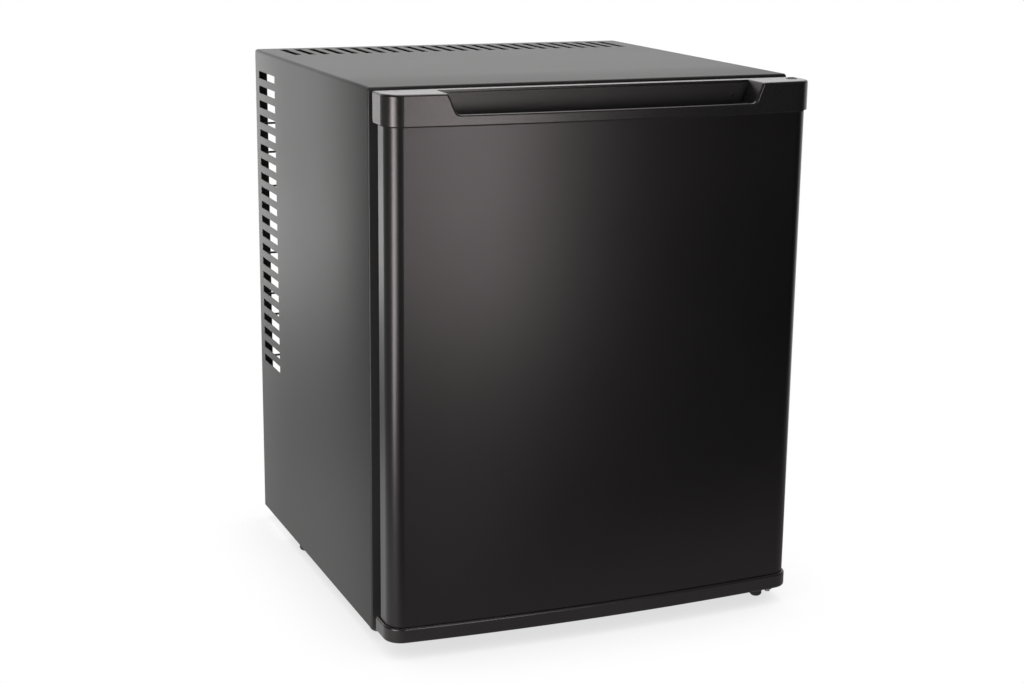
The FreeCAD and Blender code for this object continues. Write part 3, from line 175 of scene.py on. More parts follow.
# Powder coat and stoved paint: fine orange peel, slow drift of gloss, and a faint rub on edges that
# is partly wear and partly a painted edge highlight
def paintFinish(name, look):
    finish = Finish(name)
    peel = finish.noise(look["peelScale"], detail=2.0, rough=0.45)
    drift = finish.noise(look["driftScale"], detail=3.0, rough=0.55)
    speck = finish.noise(look["speckScale"], detail=2.0, rough=0.6)
    wearAndSheenPatches = finish.noise(look["rubAndSheenScale"], detail=4.0, rough=0.6)
    # Edge rub: the rub colour in patches along edges, partly real wear and partly a painted
    # highlight where the dark paints' edges catch light
    rubAndSheen = finish.edges(look["rubAndSheenWidth"]) * finish.span(wearAndSheenPatches, look["rubAndSheenFrom"], look["rubAndSheenTo"])
    colour = finish.mottle(drift, look["colour"], look["colourDrift"])
    colour = finish.blend(rubAndSheen * look["rubAndSheenShare"], colour, look["rubAndSheenColour"])
    rough = look["rough"] + sway(drift, look["roughDrift"]) + sway(speck, look["roughSpeck"])
    if "rolled" in look:
        # Rolled ends of a sheet: matt over the last stretch below and above
        [up] = finish.axes(finish.place, 2)
        low, high, rolled = look["low"], look["high"], look["rolled"]
        ends = finish.span(up, low + rolled, low + rolled / 2)
        ends = ends + finish.span(up, high - rolled, high - rolled / 2)
        rough = rough + ends * (look["rolledRough"] - rough)
    height = peel * look["peelShare"] + speck * (1 - look["peelShare"])
    under = {}
    if "crown" in look:
        # Sheet sides stand a little proud at their middle: height falls with the square of y,
        # faster at the ends. The top rolls down towards its front edge.
        [deep] = finish.axes(finish.place, 1)
        turned = finish.add("ShaderNodeNewGeometry", {}, {}, "True Normal")
        side, flat = finish.axes(turned, 0, 2)
        along = deep - look["crownMiddle"]
        fall = along * along * look["crown"] + along ** 4 * look["crownEdge"]
        roll = finish.span(deep, look["crownRollFrom"], look["crownRollTo"], 0.0, look["crownRoll"])
        sunk = fall * side.of("ABSOLUTE") + roll * (flat > look["crownFlat"])
        under["Normal"] = finish.bump(sunk * -1.0, strength=1.0, distance=1.0)
    return finish.set(Base_Color=colour, Roughness=rough,
                      Specular_Tint=look.get("tint", rgb(1.0)),
                      Normal=finish.bump(height, look["bump"], look["bumpDepth"], **under))


# Injection moulding: fine spark texture and slow gloss drift
def mouldedFinish(name, look):
    finish = Finish(name)
    spark = finish.noise(look["sparkScale"], detail=3.0, rough=0.6)
    drift = finish.noise(look["driftScale"], detail=2.0, rough=0.5)
    rough = look["rough"] + sway(drift, look["roughDrift"]) + sway(spark, look["roughSpeck"])
    return finish.set(Base_Color=finish.mottle(drift, look["colour"], look["colourDrift"]),
                      Roughness=rough, Specular_IOR_Level=look.get("specular", 0.5),
                      Specular_Tint=look.get("tint", rgb(1.0)),
                      Normal=finish.bump(spark, look["bump"], look["bumpDepth"]))


# Bare or zinc-coated metal: drawn grain along one axis, spangle and handling marks
def metalFinish(name, look):
    finish = Finish(name)
    grain = finish.noise(look["grainScale"], detail=4.0, rough=0.6, stretch=look["grainStretch"])
    spangle = finish.cells(look["spangleScale"], soft=0.6)
    mark = finish.noise(look["markScale"], detail=4.0, rough=0.6)
    mark = finish.span(mark, look["markFrom"], look["markTo"])
    colour = finish.mottle(grain, look["colour"], look["colourDrift"])
    colour = finish.blend(mark * look["markShare"], colour, look["markColour"])
    rough = look["rough"] + sway(grain, look["roughDrift"]) + sway(spangle, look["roughSpangle"])
    return finish.set(Base_Color=colour, Roughness=rough, Metallic=1.0,
                      Normal=finish.bump(grain, look["bump"], look["bumpDepth"]))


casingLook = dict(colour=rgb(0.016, 0.0154, 0.0158), colourDrift=rgb(0.019, 0.0183, 0.0186),
                  tint=rgb(1.0, 0.95, 0.92), rough=0.46, roughDrift=0.05, roughSpeck=0.10,
                  peelScale=900.0, speckScale=2600.0, driftScale=6.0, peelShare=0.6,
                  bump=0.22, bumpDepth=0.0004, rubAndSheenWidth=0.0007, rubAndSheenShare=0.35, rubAndSheenColour=rgb(0.09),
                  rubAndSheenScale=90.0, rubAndSheenFrom=0.45, rubAndSheenTo=0.7, crown=0.05, crownEdge=4.0,
                  crownMiddle=0.05, crownFlat=0.5, crownRoll=0.009, crownRollFrom=-0.07,
                  crownRollTo=-0.24)
coatLook = {key: value for key, value in casingLook.items() if not key.startswith("crown")}
skinLook = dict(coatLook, colour=rgb(0.0046, 0.0043, 0.0044),
                colourDrift=rgb(0.0056, 0.0052, 0.0053), tint=rgb(1.0, 0.9, 0.915), rough=0.29,
                roughDrift=0.03, roughSpeck=0.06, peelScale=700.0, speckScale=2200.0,
                driftScale=5.0, peelShare=0.7, bump=0.12, bumpDepth=0.0003, rubAndSheenWidth=0.0005,
                rubAndSheenShare=0.2, rubAndSheenColour=rgb(0.06), rolled=0.0012, low=0.0304, high=0.4671,
                rolledRough=0.95)
capLook = dict(colour=rgb(0.0075, 0.0072, 0.0076), colourDrift=rgb(0.0095, 0.0092, 0.0095),
               tint=rgb(1.0, 0.9, 0.9), specular=0.6, rough=0.26, roughDrift=0.04, roughSpeck=0.08,
               sparkScale=2200.0, driftScale=9.0, bump=0.12, bumpDepth=0.0003)
recessLook = dict(capLook, colour=rgb(0.0085), colourDrift=rgb(0.0105), rough=0.33, specular=0.5)
linerLook = dict(colour=rgb(0.80, 0.81, 0.80), colourDrift=rgb(0.77, 0.785, 0.78), rough=0.34,
                 roughDrift=0.08, roughSpeck=0.06, sparkScale=420.0, driftScale=7.0,
                 bump=0.05, bumpDepth=0.0005)
rackLook = dict(linerLook, colour=rgb(0.78, 0.80, 0.80), colourDrift=rgb(0.74, 0.765, 0.77),
                rough=0.28)
controlLook = dict(linerLook, colour=rgb(0.62, 0.63, 0.63), colourDrift=rgb(0.58, 0.59, 0.595),
                   rough=0.45, sparkScale=1500.0, bump=0.15)
knobLook = dict(controlLook, colour=rgb(0.09, 0.09, 0.095), colourDrift=rgb(0.11, 0.11, 0.115),
                rough=0.42)
footLook = dict(controlLook, colour=rgb(0.012), colourDrift=rgb(0.017), rough=0.55)
boxLook = dict(controlLook, colour=rgb(0.018), colourDrift=rgb(0.026), rough=0.5,
               sparkScale=1100.0, bump=0.3)
bushLook = dict(controlLook, colour=rgb(0.72, 0.71, 0.66), colourDrift=rgb(0.66, 0.65, 0.60),
                rough=0.4)
gasketLook = dict(controlLook, colour=rgb(0.007), colourDrift=rgb(0.010), rough=0.62,
                  sparkScale=800.0, bump=0.1)
foamLook = dict(controlLook, colour=rgb(0.72, 0.62, 0.40), colourDrift=rgb(0.60, 0.50, 0.30),
                rough=0.85, sparkScale=240.0, bump=0.6)
panelLook = dict(coatLook, colour=rgb(0.10, 0.10, 0.105), colourDrift=rgb(0.13, 0.13, 0.135),
                 rough=0.5, driftScale=9.0)
baseLook = dict(coatLook, colour=rgb(0.025), colourDrift=rgb(0.035), rough=0.52)
unitLook = dict(coatLook, colour=rgb(0.016), colourDrift=rgb(0.024), rough=0.55, roughDrift=0.2,
                driftScale=22.0, bump=0.4, rubAndSheenWidth=0.0005)
wireLook = dict(coatLook, colour=rgb(0.018), colourDrift=rgb(0.022), rough=0.4)
shelfLook = dict(coatLook, colour=rgb(0.78, 0.79, 0.78), colourDrift=rgb(0.74, 0.75, 0.745),
                 rubAndSheenColour=rgb(0.5), rough=0.3)
hingeLook = dict(coatLook, colour=rgb(0.02), colourDrift=rgb(0.03), rough=0.42)
zincLook = dict(colour=rgb(0.52, 0.53, 0.54), colourDrift=rgb(0.62, 0.63, 0.63), rough=0.38,
                roughDrift=0.15, roughSpangle=0.18, grainScale=60.0, grainStretch=(1.0, 1.0, 0.06),
                spangleScale=110.0, markColour=rgb(0.36, 0.35, 0.33), markShare=0.5, markScale=26.0,
                markFrom=0.52, markTo=0.72, bump=0.08, bumpDepth=0.0004)
finLook = dict(zincLook, colour=rgb(0.70, 0.71, 0.72), colourDrift=rgb(0.78, 0.79, 0.80),
               rough=0.36, roughDrift=0.08, roughSpangle=0.04, grainStretch=(1.0, 1.0, 0.04),
               markShare=0.15, bump=0.03)
pinLook = dict(zincLook, colour=rgb(0.50, 0.50, 0.51), colourDrift=rgb(0.58, 0.58, 0.59),
               rough=0.28)
screwLook = dict(zincLook, colour=rgb(0.55, 0.55, 0.54), colourDrift=rgb(0.62, 0.61, 0.58),
                 rough=0.32, grainScale=300.0)


# Frosted lens: milky plastic with fine prisms across it
def lensFinish(look):
    finish = Finish("lampLens")
    [across] = finish.axes(finish.place, 1)
    prism = (across * look["prismPitch"]).of("FRACT") - 0.5
    frost = finish.noise(look["frostScale"], detail=2.0, rough=0.5)
    return finish.set(Base_Color=finish.mottle(frost, look["colour"], look["colourDrift"]),
                      Roughness=look["rough"] + sway(frost, look["roughFrost"]),
                      Normal=finish.bump(prism.of("ABSOLUTE"), look["bump"], look["prismDepth"]),
                      Transmission_Weight=look["clear"])


lensLook = dict(colour=rgb(0.86, 0.83, 0.74), colourDrift=rgb(0.80, 0.77, 0.69), rough=0.4,
                roughFrost=0.2, frostScale=900.0, prismPitch=420.0, prismDepth=0.0006, bump=0.5,
                clear=0.25)

finishes = {
    "casing_paint": paintFinish("casingPaint", casingLook),
    "door_skin_paint": paintFinish("doorSkinPaint", skinLook),
    "cap_plastic": mouldedFinish("capMoulding", capLook),
    "recess_plastic": mouldedFinish("recessMoulding", recessLook),
    "gasket_rubber": mouldedFinish("gasketRubber", gasketLook),
    "liner_plastic": mouldedFinish("linerSheet", linerLook),
    "rack_plastic": mouldedFinish("rackMoulding", rackLook),
    "control_plastic": mouldedFinish("controlMoulding", controlLook),
    "lens_plastic": lensFinish(lensLook),
    "knob_plastic": mouldedFinish("knobMoulding", knobLook),
    "shelf_wire": paintFinish("shelfCoating", shelfLook),
    "evaporator_metal": metalFinish("evaporatorFins", finLook),
    "foam": mouldedFinish("rigidFoam", foamLook),
    "panel_zinc": paintFinish("backPanelCoat", panelLook),
    "base_zinc": paintFinish("basePlateCoat", baseLook),
    "unit_paint": paintFinish("unitPaint", unitLook),
    "boiler_zinc": metalFinish("boilerZinc", zincLook),
    "fin_paint": paintFinish("coolingFinPaint", unitLook),
    "stay_wire": paintFinish("stayWireCoat", wireLook),
    "hinge_steel": paintFinish("hingeCoat", hingeLook),
    "pin_steel": metalFinish("pinSteel", pinLook),
    "screw_steel": metalFinish("screwZinc", screwLook),
    "foot_plastic": mouldedFinish("footMoulding", footLook),
    "box_plastic": mouldedFinish("controlBoxMoulding", boxLook),
    "bush_plastic": mouldedFinish("bushNylon", bushLook),
}
for part in frame["record"]["subparts"]:
    mesh = nodes[part["node"]].data
    mesh.materials.clear()
    mesh.materials.append(finishes[part["material_slot"]])


# Heater conduit: ribs as a sine of x - z, because the sleeve runs down and then across; the grooves
# between the ribs get painted shade
def conduitFinish(look):
    finish = Finish("conduitSleeve")
    across, up = finish.axes(finish.place, 0, 2)
    rib = ((across - up) * (2 * math.pi / look["ribPitch"])).of("SINE")
    dust = finish.noise(look["dustScale"], detail=3.0, rough=0.6)
    unshadedRidge = finish.span(rib, look["grooveShadeFrom"], look["grooveShadeTo"])
    # The groove colour darkens the grooves between the ribs: painted shade
    return finish.set(Base_Color=finish.blend(unshadedRidge, look["groove"], look["colour"]),
                      Roughness=look["rough"] + sway(dust, look["roughDust"]),
                      Normal=finish.bump(rib, look["bump"], look["ribDepth"]))


conduitLook = dict(colour=rgb(0.045, 0.045, 0.048), groove=rgb(0.012), grooveShadeFrom=-0.9,
                   grooveShadeTo=0.3, rough=0.5, roughDust=0.2, dustScale=400.0, ribPitch=0.0022,
                   ribDepth=0.0005, bump=0.9)
nodes["heater_conduit"].data.materials[0] = conduitFinish(conduitLook)


# Power inlet: moulded body, bare metal where its three blades stand in the mouth
def inletFinish(look):
    finish = Finish("inletMoulding")
    x, y, z = finish.axes(finish.place, 0, 1, 2)
    across = (x - look["middle"][0]).of("ABSOLUTE")
    beside = (across - look["spread"]).of("ABSOLUTE")
    rise = (z - look["middle"][1]).of("ABSOLUTE")
    blade = (across < look["half"]) + (beside < look["half"])
    blade = blade * (y > look["mouth"]) * (rise < look["reach"])
    spark = finish.noise(look["sparkScale"], detail=3.0, rough=0.6)
    scrape = finish.noise(look["scrapeScale"], detail=4.0, rough=0.6, stretch=look["scrapeStretch"])
    metal = finish.mottle(scrape, look["metal"], look["metalWorn"])
    plastic = finish.mottle(spark, look["colour"], look["colourDrift"])
    rough = look["rough"] + sway(spark, look["roughSpeck"]) - blade * look["bladeGloss"]
    return finish.set(Base_Color=finish.blend(blade, plastic, metal), Metallic=blade,
                      Roughness=rough, Normal=finish.bump(spark, look["bump"], look["bumpDepth"]))


inletLook = dict(colour=rgb(0.016), colourDrift=rgb(0.022), metal=rgb(0.66, 0.64, 0.58),
                 metalWorn=rgb(0.54, 0.52, 0.46), rough=0.48, roughSpeck=0.12, bladeGloss=0.2,
                 sparkScale=1400.0, scrapeScale=220.0, scrapeStretch=(1.0, 0.08, 1.0), bump=0.15,
                 bumpDepth=0.0004, middle=(0.170, 0.058), spread=0.007, half=0.0011, reach=0.0043,
                 mouth=0.1758)
nodes["power_inlet"].data.materials[0] = inletFinish(inletLook)


# Surfaces are rings of points, (rings, around, 3) in millimetres. Neighbouring rings join as quads,
# open runs get a lid at each end, and a shell that encloses a negative volume is turned the right
# way out.
def ringFaces(count, around, closed):
    ring = np.arange(count if closed else count - 1)[:, None]
    step = np.arange(around)[None, :]
    after, beside = (ring + 1) % count, (step + 1) % around
    corners = np.broadcast_arrays(ring * around + step, ring * around + beside,
                                  after * around + beside, after * around + step)
    lids = [np.arange(around)[::-1], np.arange(around) + (count - 1) * around]
    return np.stack(corners, axis=-1).reshape(-1, 4), [] if closed else lids


def surfacePiece(name, shells, closed, body, finish, stands=()):
    points, faces, start = [], [], 0
    for rings in shells:
        flat = rings.reshape(-1, 3) / 1000
        quads, lids = ringFaces(*rings.shape[:2], closed)
        a, b, c, d = [flat[quads[:, corner]] - flat.mean(axis=0) for corner in range(4)]
        if (np.cross(a, b) * c + np.cross(a, c) * d).sum() < 0:
            quads, lids = quads[:, ::-1], [lid[::-1] for lid in lids]
        faces += (quads + start).tolist() + [(lid + start).tolist() for lid in lids]
        points.append(flat)
        start += len(flat)
    mesh = bpy.data.meshes.new(name)
    mesh.from_pydata(np.concatenate(points).tolist(), [], faces)
    dressPiece(name, mesh, body, finish, stands)


creaseAngle = 38  # degrees between faces from which an edge is drawn sharp


def dressPiece(name, mesh, body, finish, stands=()):
    mesh.shade_smooth()
    mesh.set_sharp_from_angle(angle=math.radians(creaseAngle))
    mesh.materials.clear()
    mesh.materials.append(finish)
    piece = bpy.data.objects.new(name, mesh)
    bpy.context.scene.collection.objects.link(piece)
    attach(piece, body)
    if stands:
        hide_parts(*stands)


def ramp(value, low, high):
    share = np.clip((value - low) / (high - low), 0.0, 1.0)
    return share * share * (3 - 2 * share)


def turnRound(count):
    return np.linspace(0, 2 * math.pi, count, endpoint=False)


# Screws: a turned profile from the shank's tip to the crown; the cross recess lowers the crown
# where a point lies within the arm's half width of either arm's line
screwShape = dict(head=3.6, under=3.5, rim=0.55, crown=1.05, rimEnd=0.75, rimSteps=6, crownFrom=2.3,
                  pole=0.05, crownSteps=13, shank=1.95, shoulder=1.65, tip=0.9, length=5.9,
                  tipRise=0.2, shoulderRise=0.8, armReach=2.05, armEnd=0.35, armHalf=0.46,
                  armOut=0.12, armIn=0.06, armDepth=1.0, armTaper=0.45, around=48, turn=2.4,
                  groupTurns=3)
screwGroups = {
    "base_screws": dict(into=(0, 0, 1), places=[(x, y, 13.0) for x in (-124.4, 124.4)
                                                for y in (-132.0, 113.2)]),
    "lower_hinge_screws": dict(into=(0, 0, 1), places=[(x, -124.67, 10.5) for x in (163.2, 187.2)]),
    "upper_hinge_screws": dict(into=(0, 1, 0), places=[(x, -156.0, 484.5)
                                                       for x in (181.75, 190.75)]),
    "back_panel_screws": dict(into=(0, -1, 0), places=[(x, 136.0, z) for x in (-187.2, 187.2)
                                                       for z in (113.0, 254.0, 465.0)]),
    "evaporator_screws": dict(into=(0, 1, 0), places=[(x, 90.2, z) for x in (-68.8, 68.8)
                                                      for z in (360.6, 407.4)]),
    "control_box_screws": dict(into=(0, -1, 0), places=[(170.0, 188.0, z) for z in (30.2, 85.8)]),
}


def crossArm(shape, beside, along):
    half, reach = -shape["armHalf"], -shape["armReach"]
    width = ramp(-np.abs(beside), half - shape["armOut"], half + shape["armIn"])
    return width * ramp(-np.abs(along), reach, reach + shape["armEnd"])


def screwRings(shape, place, into, turn):
    angle = turnRound(shape["around"])[None, :]
    rim = np.sin(np.linspace(math.pi / 2, shape["rimEnd"], shape["rimSteps"]))
    crown = np.linspace(shape["crownFrom"], shape["pole"], shape["crownSteps"])
    outer = np.concatenate([shape["head"] * rim, crown])
    dome = shape["crown"] * np.sqrt(1 - np.minimum(outer / shape["head"], 1) ** 2)
    end = -shape["length"]
    shank = [shape["tip"], shape["shoulder"], shape["shank"], shape["shank"], shape["under"]]
    rise = [end, end + shape["tipRise"], end + shape["shoulderRise"], 0.0, 0.0]
    radius = np.concatenate([shank, outer])[:, None]
    height = np.concatenate([rise, shape["rim"] + dome])[:, None]
    across, along = radius * np.cos(angle), radius * np.sin(angle)
    arms = np.maximum(crossArm(shape, across, along), crossArm(shape, along, across))
    deep = shape["armDepth"] * (1 - shape["armTaper"] * radius / shape["head"])
    sunk = arms * (height > shape["rim"]) * deep
    way = np.array(into, float)
    first = np.roll(np.abs(way), 1)
    second = np.cross(way, first)
    spinX = math.cos(turn) * first + math.sin(turn) * second
    spinY = math.cos(turn) * second - math.sin(turn) * first
    spread = across[..., None] * spinX + along[..., None] * spinY
    return np.array(place) + spread - (height - sunk)[..., None] * way


for number, (node, group) in enumerate(screwGroups.items()):
    turns = [screwShape["turn"] * (index + screwShape["groupTurns"] * number)
             for index in range(len(group["places"]))]
    shells = [screwRings(screwShape, place, group["into"], turn)
              for place, turn in zip(group["places"], turns)]
    surfacePiece(node.replace("_", "-") + "-cross", shells, False, "cabinet",
                 finishes["screw_steel"], [node])
print("screws cut:", sum(len(group["places"]) for group in screwGroups.values()))


# Door seal: one hollow-bellows profile, inward distance against depth, carried round a mitred
# frame. Side walls wave as a sine between the base and the head.
sealShape = dict(outside=188.0, low=34.0, high=463.5, width=16.0, wall=3.7, wallBack=-169.6,
                 wallFront=-161.0, pleats=3, wave=1.0, steps=25, spans=8,
                 base=[(0, -173.5), (0, -171.4), (0.5, -170.8), (2.6, -170.2)],
                 head=[(2.0, -160.3), (1.5, -159.4), (1.5, -156.0), (1.9, -155.0), (2.9, -154.5),
                       (8.0, -154.5)])


def sealRings(shape):
    share = np.linspace(0, 1, shape["steps"])
    depth = shape["wallBack"] + (shape["wallFront"] - shape["wallBack"]) * share
    wall = shape["wall"] + shape["wave"] * np.sin(share * 2 * math.pi * shape["pleats"])
    outer = np.concatenate([shape["base"], np.stack([wall, depth], axis=1), shape["head"]])
    inner = np.stack([shape["width"] - outer[-2::-1, 0], outer[-2::-1, 1]], axis=1)
    inward, depth = np.concatenate([outer, inner]).T
    left, right = inward - shape["outside"], shape["outside"] - inward
    low, high = shape["low"] + inward, shape["high"] - inward
    corners = np.stack([np.stack([x, depth, z], axis=1) for x, z in
                        ((left, low), (right, low), (right, high), (left, high))])
    share = np.linspace(0, 1, shape["spans"], endpoint=False)[None, :, None, None]
    rings = corners[:, None] * (1 - share) + np.roll(corners, -1, axis=0)[:, None] * share
    return rings.reshape(-1, len(inward), 3)


surfacePiece("door-seal", [sealRings(sealShape)], True, "door",
             finishes["gasket_rubber"], ["door_gasket"])


# Rear feet: a turned rubber profile whose sole rounds into the wall as a quarter ellipse;
# grip ribs lower the wall as a cosine of the angle round it
footShape = dict(radius=9.9, sole=8.5, edge=1.8, edgeSteps=7, top=12.98, band=0.6, stud=3.0,
                 studTop=22.0, ribs=36, ribDepth=0.14, ribStart=0.8, around=144)
footPlaces = {"rear_foot_left": (-184.0, 98.0), "rear_foot_right": (184.0, 98.0)}


def footRings(shape, place):
    bend = np.linspace(0, math.pi / 2, shape["edgeSteps"])
    sole = shape["sole"] + (shape["radius"] - shape["sole"]) * np.sin(bend)
    rise = shape["edge"] * (1 - np.cos(bend))
    upper = [shape["top"] - shape["band"], shape["top"], shape["top"], shape["studTop"]]
    radius = np.concatenate([sole, [shape["radius"]] * 2, [shape["stud"]] * 2])[:, None]
    height = np.concatenate([rise, upper])[:, None]
    angle = turnRound(shape["around"])[None, :]
    groove = shape["ribDepth"] * (0.5 - 0.5 * np.cos(shape["ribs"] * angle))
    reach = radius - (radius > shape["sole"] + shape["ribStart"]) * groove
    x, y = place[0] + reach * np.cos(angle), place[1] + reach * np.sin(angle)
    return np.stack(np.broadcast_arrays(x, y, height), axis=-1)


for node, place in footPlaces.items():
    surfacePiece(node.replace("_", "-") + "-rubber", [footRings(footShape, place)], False,
                 "cabinet", finishes["foot_plastic"], [node])


# Weld beads: rings about a tube's end whose thickness ripples as a cosine of the angle round it.
# Each place has its middle, the tube's axis and the tube's radius.
beadShape = dict(thick=1.25, ripple=0.2, ripplePitch=2.6, rippleLag=0.8, around=84, section=10)
beadPlaces = [((112, 172, 305.4), 2, 9.2), ((70, 172, 461), 0, 9.2), ((-112.4, 172, 461), 0, 4.4),
              ((0, 172, 261.7), 2, 8.3), ((-20, 172, 84.4), 2, 8.3), ((20.4, 172, 51), 0, 8.3),
              ((112, 172, 99.6), 2, 8.3), ((-138, 172, 51), 0, 24.6), ((8, 172, 51), 0, 24.6)]


def beadRings(shape, place, axis, radius):
    angle, part = turnRound(shape["around"])[:, None], turnRound(shape["section"])[None, :]
    ripples = round(radius * shape["ripplePitch"])
    wave = np.cos(ripples * angle + shape["rippleLag"] * np.cos(part))
    thick = shape["thick"] * (1 + shape["ripple"] * wave)
    reach = radius + thick * np.cos(part)
    rings = np.stack([reach * np.cos(angle), reach * np.sin(angle), thick * np.sin(part)], axis=-1)
    return np.array(place) + np.roll(rings, axis + 1, axis=-1)


surfacePiece("unit-weld-beads", [beadRings(beadShape, *place) for place in beadPlaces], True,
             "cabinet", finishes["unit_paint"])


# Boiler jacket's lock seam: a low ridge up the jacket, height falling with the fourth power
# from its middle
seamShape = dict(middle=(112, 172), radius=29.0, low=106.5, high=298.5, heading=1.9, half=4.2,
                 rise=1.1, sunk=0.4, across=22, levels=12)


def seamRings(shape):
    share = np.linspace(-1, 1, shape["across"])
    reach = np.concatenate([shape["radius"] + shape["rise"] * (1 - share ** 4),
                            np.full(shape["across"], shape["radius"] - shape["sunk"])])
    spread = np.concatenate([share, share[::-1]]) * shape["half"] / shape["radius"]
    angle = shape["heading"] + spread
    height = np.linspace(shape["low"], shape["high"], shape["levels"])[:, None]
    x = shape["middle"][0] + reach * np.cos(angle)
    y = shape["middle"][1] + reach * np.sin(angle)
    return np.stack(np.broadcast_arrays(x, y, height), axis=-1)


surfacePiece("boiler-lock-seam", [seamRings(seamShape)], False, "cabinet",
             finishes["boiler_zinc"])
print("seal, feet, welds and boiler seam made")


# Dial: numbers and half marks round the thermostat knob, counted the way the knob turns from its
# rest, and a pointer on the knob's face
dialShape = dict(face=144.0, middle=(-6.6, 408.0), reach=16.0, count=6, sweep=270.0, size=4.3,
                 proud=0.12, markHalf=0.3, markReach=1.2)
pointerShape = dict(near=4.0, far=9.0, half=0.55, sunk=0.02)


def dialPlace(shape, degrees, reach):
    turn = math.radians(degrees)
    return (shape["middle"][0] - reach * math.sin(turn),
            shape["middle"][1] - reach * math.cos(turn))


def dialNumber(shape, number, finish):
    curve = bpy.data.curves.new("dialNumber", "FONT")
    curve.body, curve.size = str(number), shape["size"] / 1000
    curve.extrude = shape["proud"] / 2 / 1000
    curve.align_x, curve.align_y = "CENTER", "CENTER"
    written = bpy.data.objects.new("dialNumber", curve)
    bpy.context.scene.collection.objects.link(written)
    bpy.context.view_layer.update()
    mesh = bpy.data.meshes.new_from_object(written)
    bpy.data.objects.remove(written)
    degrees = number * shape["sweep"] / (shape["count"] - 1)
    along, up = dialPlace(shape, degrees, shape["reach"])
    out = shape["face"] - shape["proud"] / 2
    mesh.transform(Matrix(((0, 0, -1, out / 1000), (-1, 0, 0, along / 1000),
                           (0, 1, 0, up / 1000), (0, 0, 0, 1))))
    dressPiece(f"dial-number-{number}", mesh, "cabinet", finish)


# A flat bar along the dial's radius on a face at x, as two rings a little apart in x
def dialBar(shape, face, degrees, near, far, half):
    start = np.array(dialPlace(shape, degrees, near))
    end = np.array(dialPlace(shape, degrees, far))
    way = (end - start) / np.linalg.norm(end - start)
    beside = np.array([-way[1], way[0]]) * half
    ring = np.stack([start - beside, end - beside, end + beside, start + beside])
    return np.stack([np.concatenate([np.full((4, 1), x), ring], axis=1)
                     for x in (face, face - shape["proud"])])


inkLook = dict(controlLook, colour=rgb(0.035), colourDrift=rgb(0.05), rough=0.5, bump=0.02)
markLook = dict(controlLook, colour=rgb(0.72), colourDrift=rgb(0.66), rough=0.5, bump=0.02)
dialInk, knobMark = mouldedFinish("dialInk", inkLook), mouldedFinish("knobMark", markLook)
for number in range(dialShape["count"]):
    dialNumber(dialShape, number, dialInk)
halfSteps = np.arange(dialShape["count"] - 1) + 0.5
halfTurns = halfSteps * dialShape["sweep"] / (dialShape["count"] - 1)
markNear = dialShape["reach"] - dialShape["markReach"]
markFar = dialShape["reach"] + dialShape["markReach"]
marks = [dialBar(dialShape, dialShape["face"], turn, markNear, markFar, dialShape["markHalf"])
         for turn in halfTurns]
surfacePiece("dial-half-marks", marks, False, "cabinet", dialInk)
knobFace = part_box("thermostat_knob")[0][0] * 1000
pointer = dialBar(dialShape, knobFace + pointerShape["sunk"], 0, pointerShape["near"],
                  pointerShape["far"], pointerShape["half"])
surfacePiece("knob-pointer", [pointer], False, "thermostat_knob", knobMark)
print("dial marked")


# Floor: pale paper, white to the camera, with a painted shadow of the object where it stands close.
# Reflections see painted light on it: lit at the left and behind the object, and dim towards the
# front of the room, by the bearing in degrees from straight behind, with a painted pool of light
# towards the back and a painted light streak under the front boxes.
floorLook = dict(size=40.0, colour=rgb(0.8), rough=0.9, contactReach=0.12, contactSamples=8,
                 contactShade=0.7, contactClear=0.9, leftFrom=-160.0, leftTo=-125.0, left=0.3,
                 nearFrom=0.75, nearTo=0.4, near=0.5, backFrom=-40.0, backTo=-25.0, rightLit=80.0,
                 rightDim=108.0, paintedPoolFrom=-0.62, paintedPoolTo=-0.25, paintedPool=0.3, slant=0.4,
                 paintedStreakFrom=-0.08, paintedStreakTo=-0.26, paintedStreak=0.32, paintedStreakOut=-0.25, paintedStreakIn=-0.1)


# Painted light on the floor as reflections see it, 0 to 1
def floorGlow(finish, look):
    across, along = finish.axes(finish.place, 0, 1)
    bearing = finish.bearing(across, along)
    reach = (across * across + along * along) ** 0.5
    left = look["left"] + finish.span(reach, look["nearFrom"], look["nearTo"], 0.0, look["near"])
    lit = finish.span(bearing, look["leftFrom"], look["leftTo"]) * left
    lit = lit + finish.span(bearing, look["backFrom"], look["backTo"]) * (1 - left)
    lit = lit * finish.span(bearing, look["rightDim"], look["rightLit"])
    paintedPool = finish.span(along, look["paintedPoolFrom"], look["paintedPoolTo"], 0.0, look["paintedPool"])
    slanted = across + along * look["slant"]
    paintedStreak = finish.span(slanted, look["paintedStreakFrom"], look["paintedStreakTo"], 0.0, look["paintedStreak"])
    paintedStreak = paintedStreak * finish.span(across, look["paintedStreakOut"], look["paintedStreakIn"])
    return lit.of("MAXIMUM", paintedPool).of("MAXIMUM", paintedStreak)


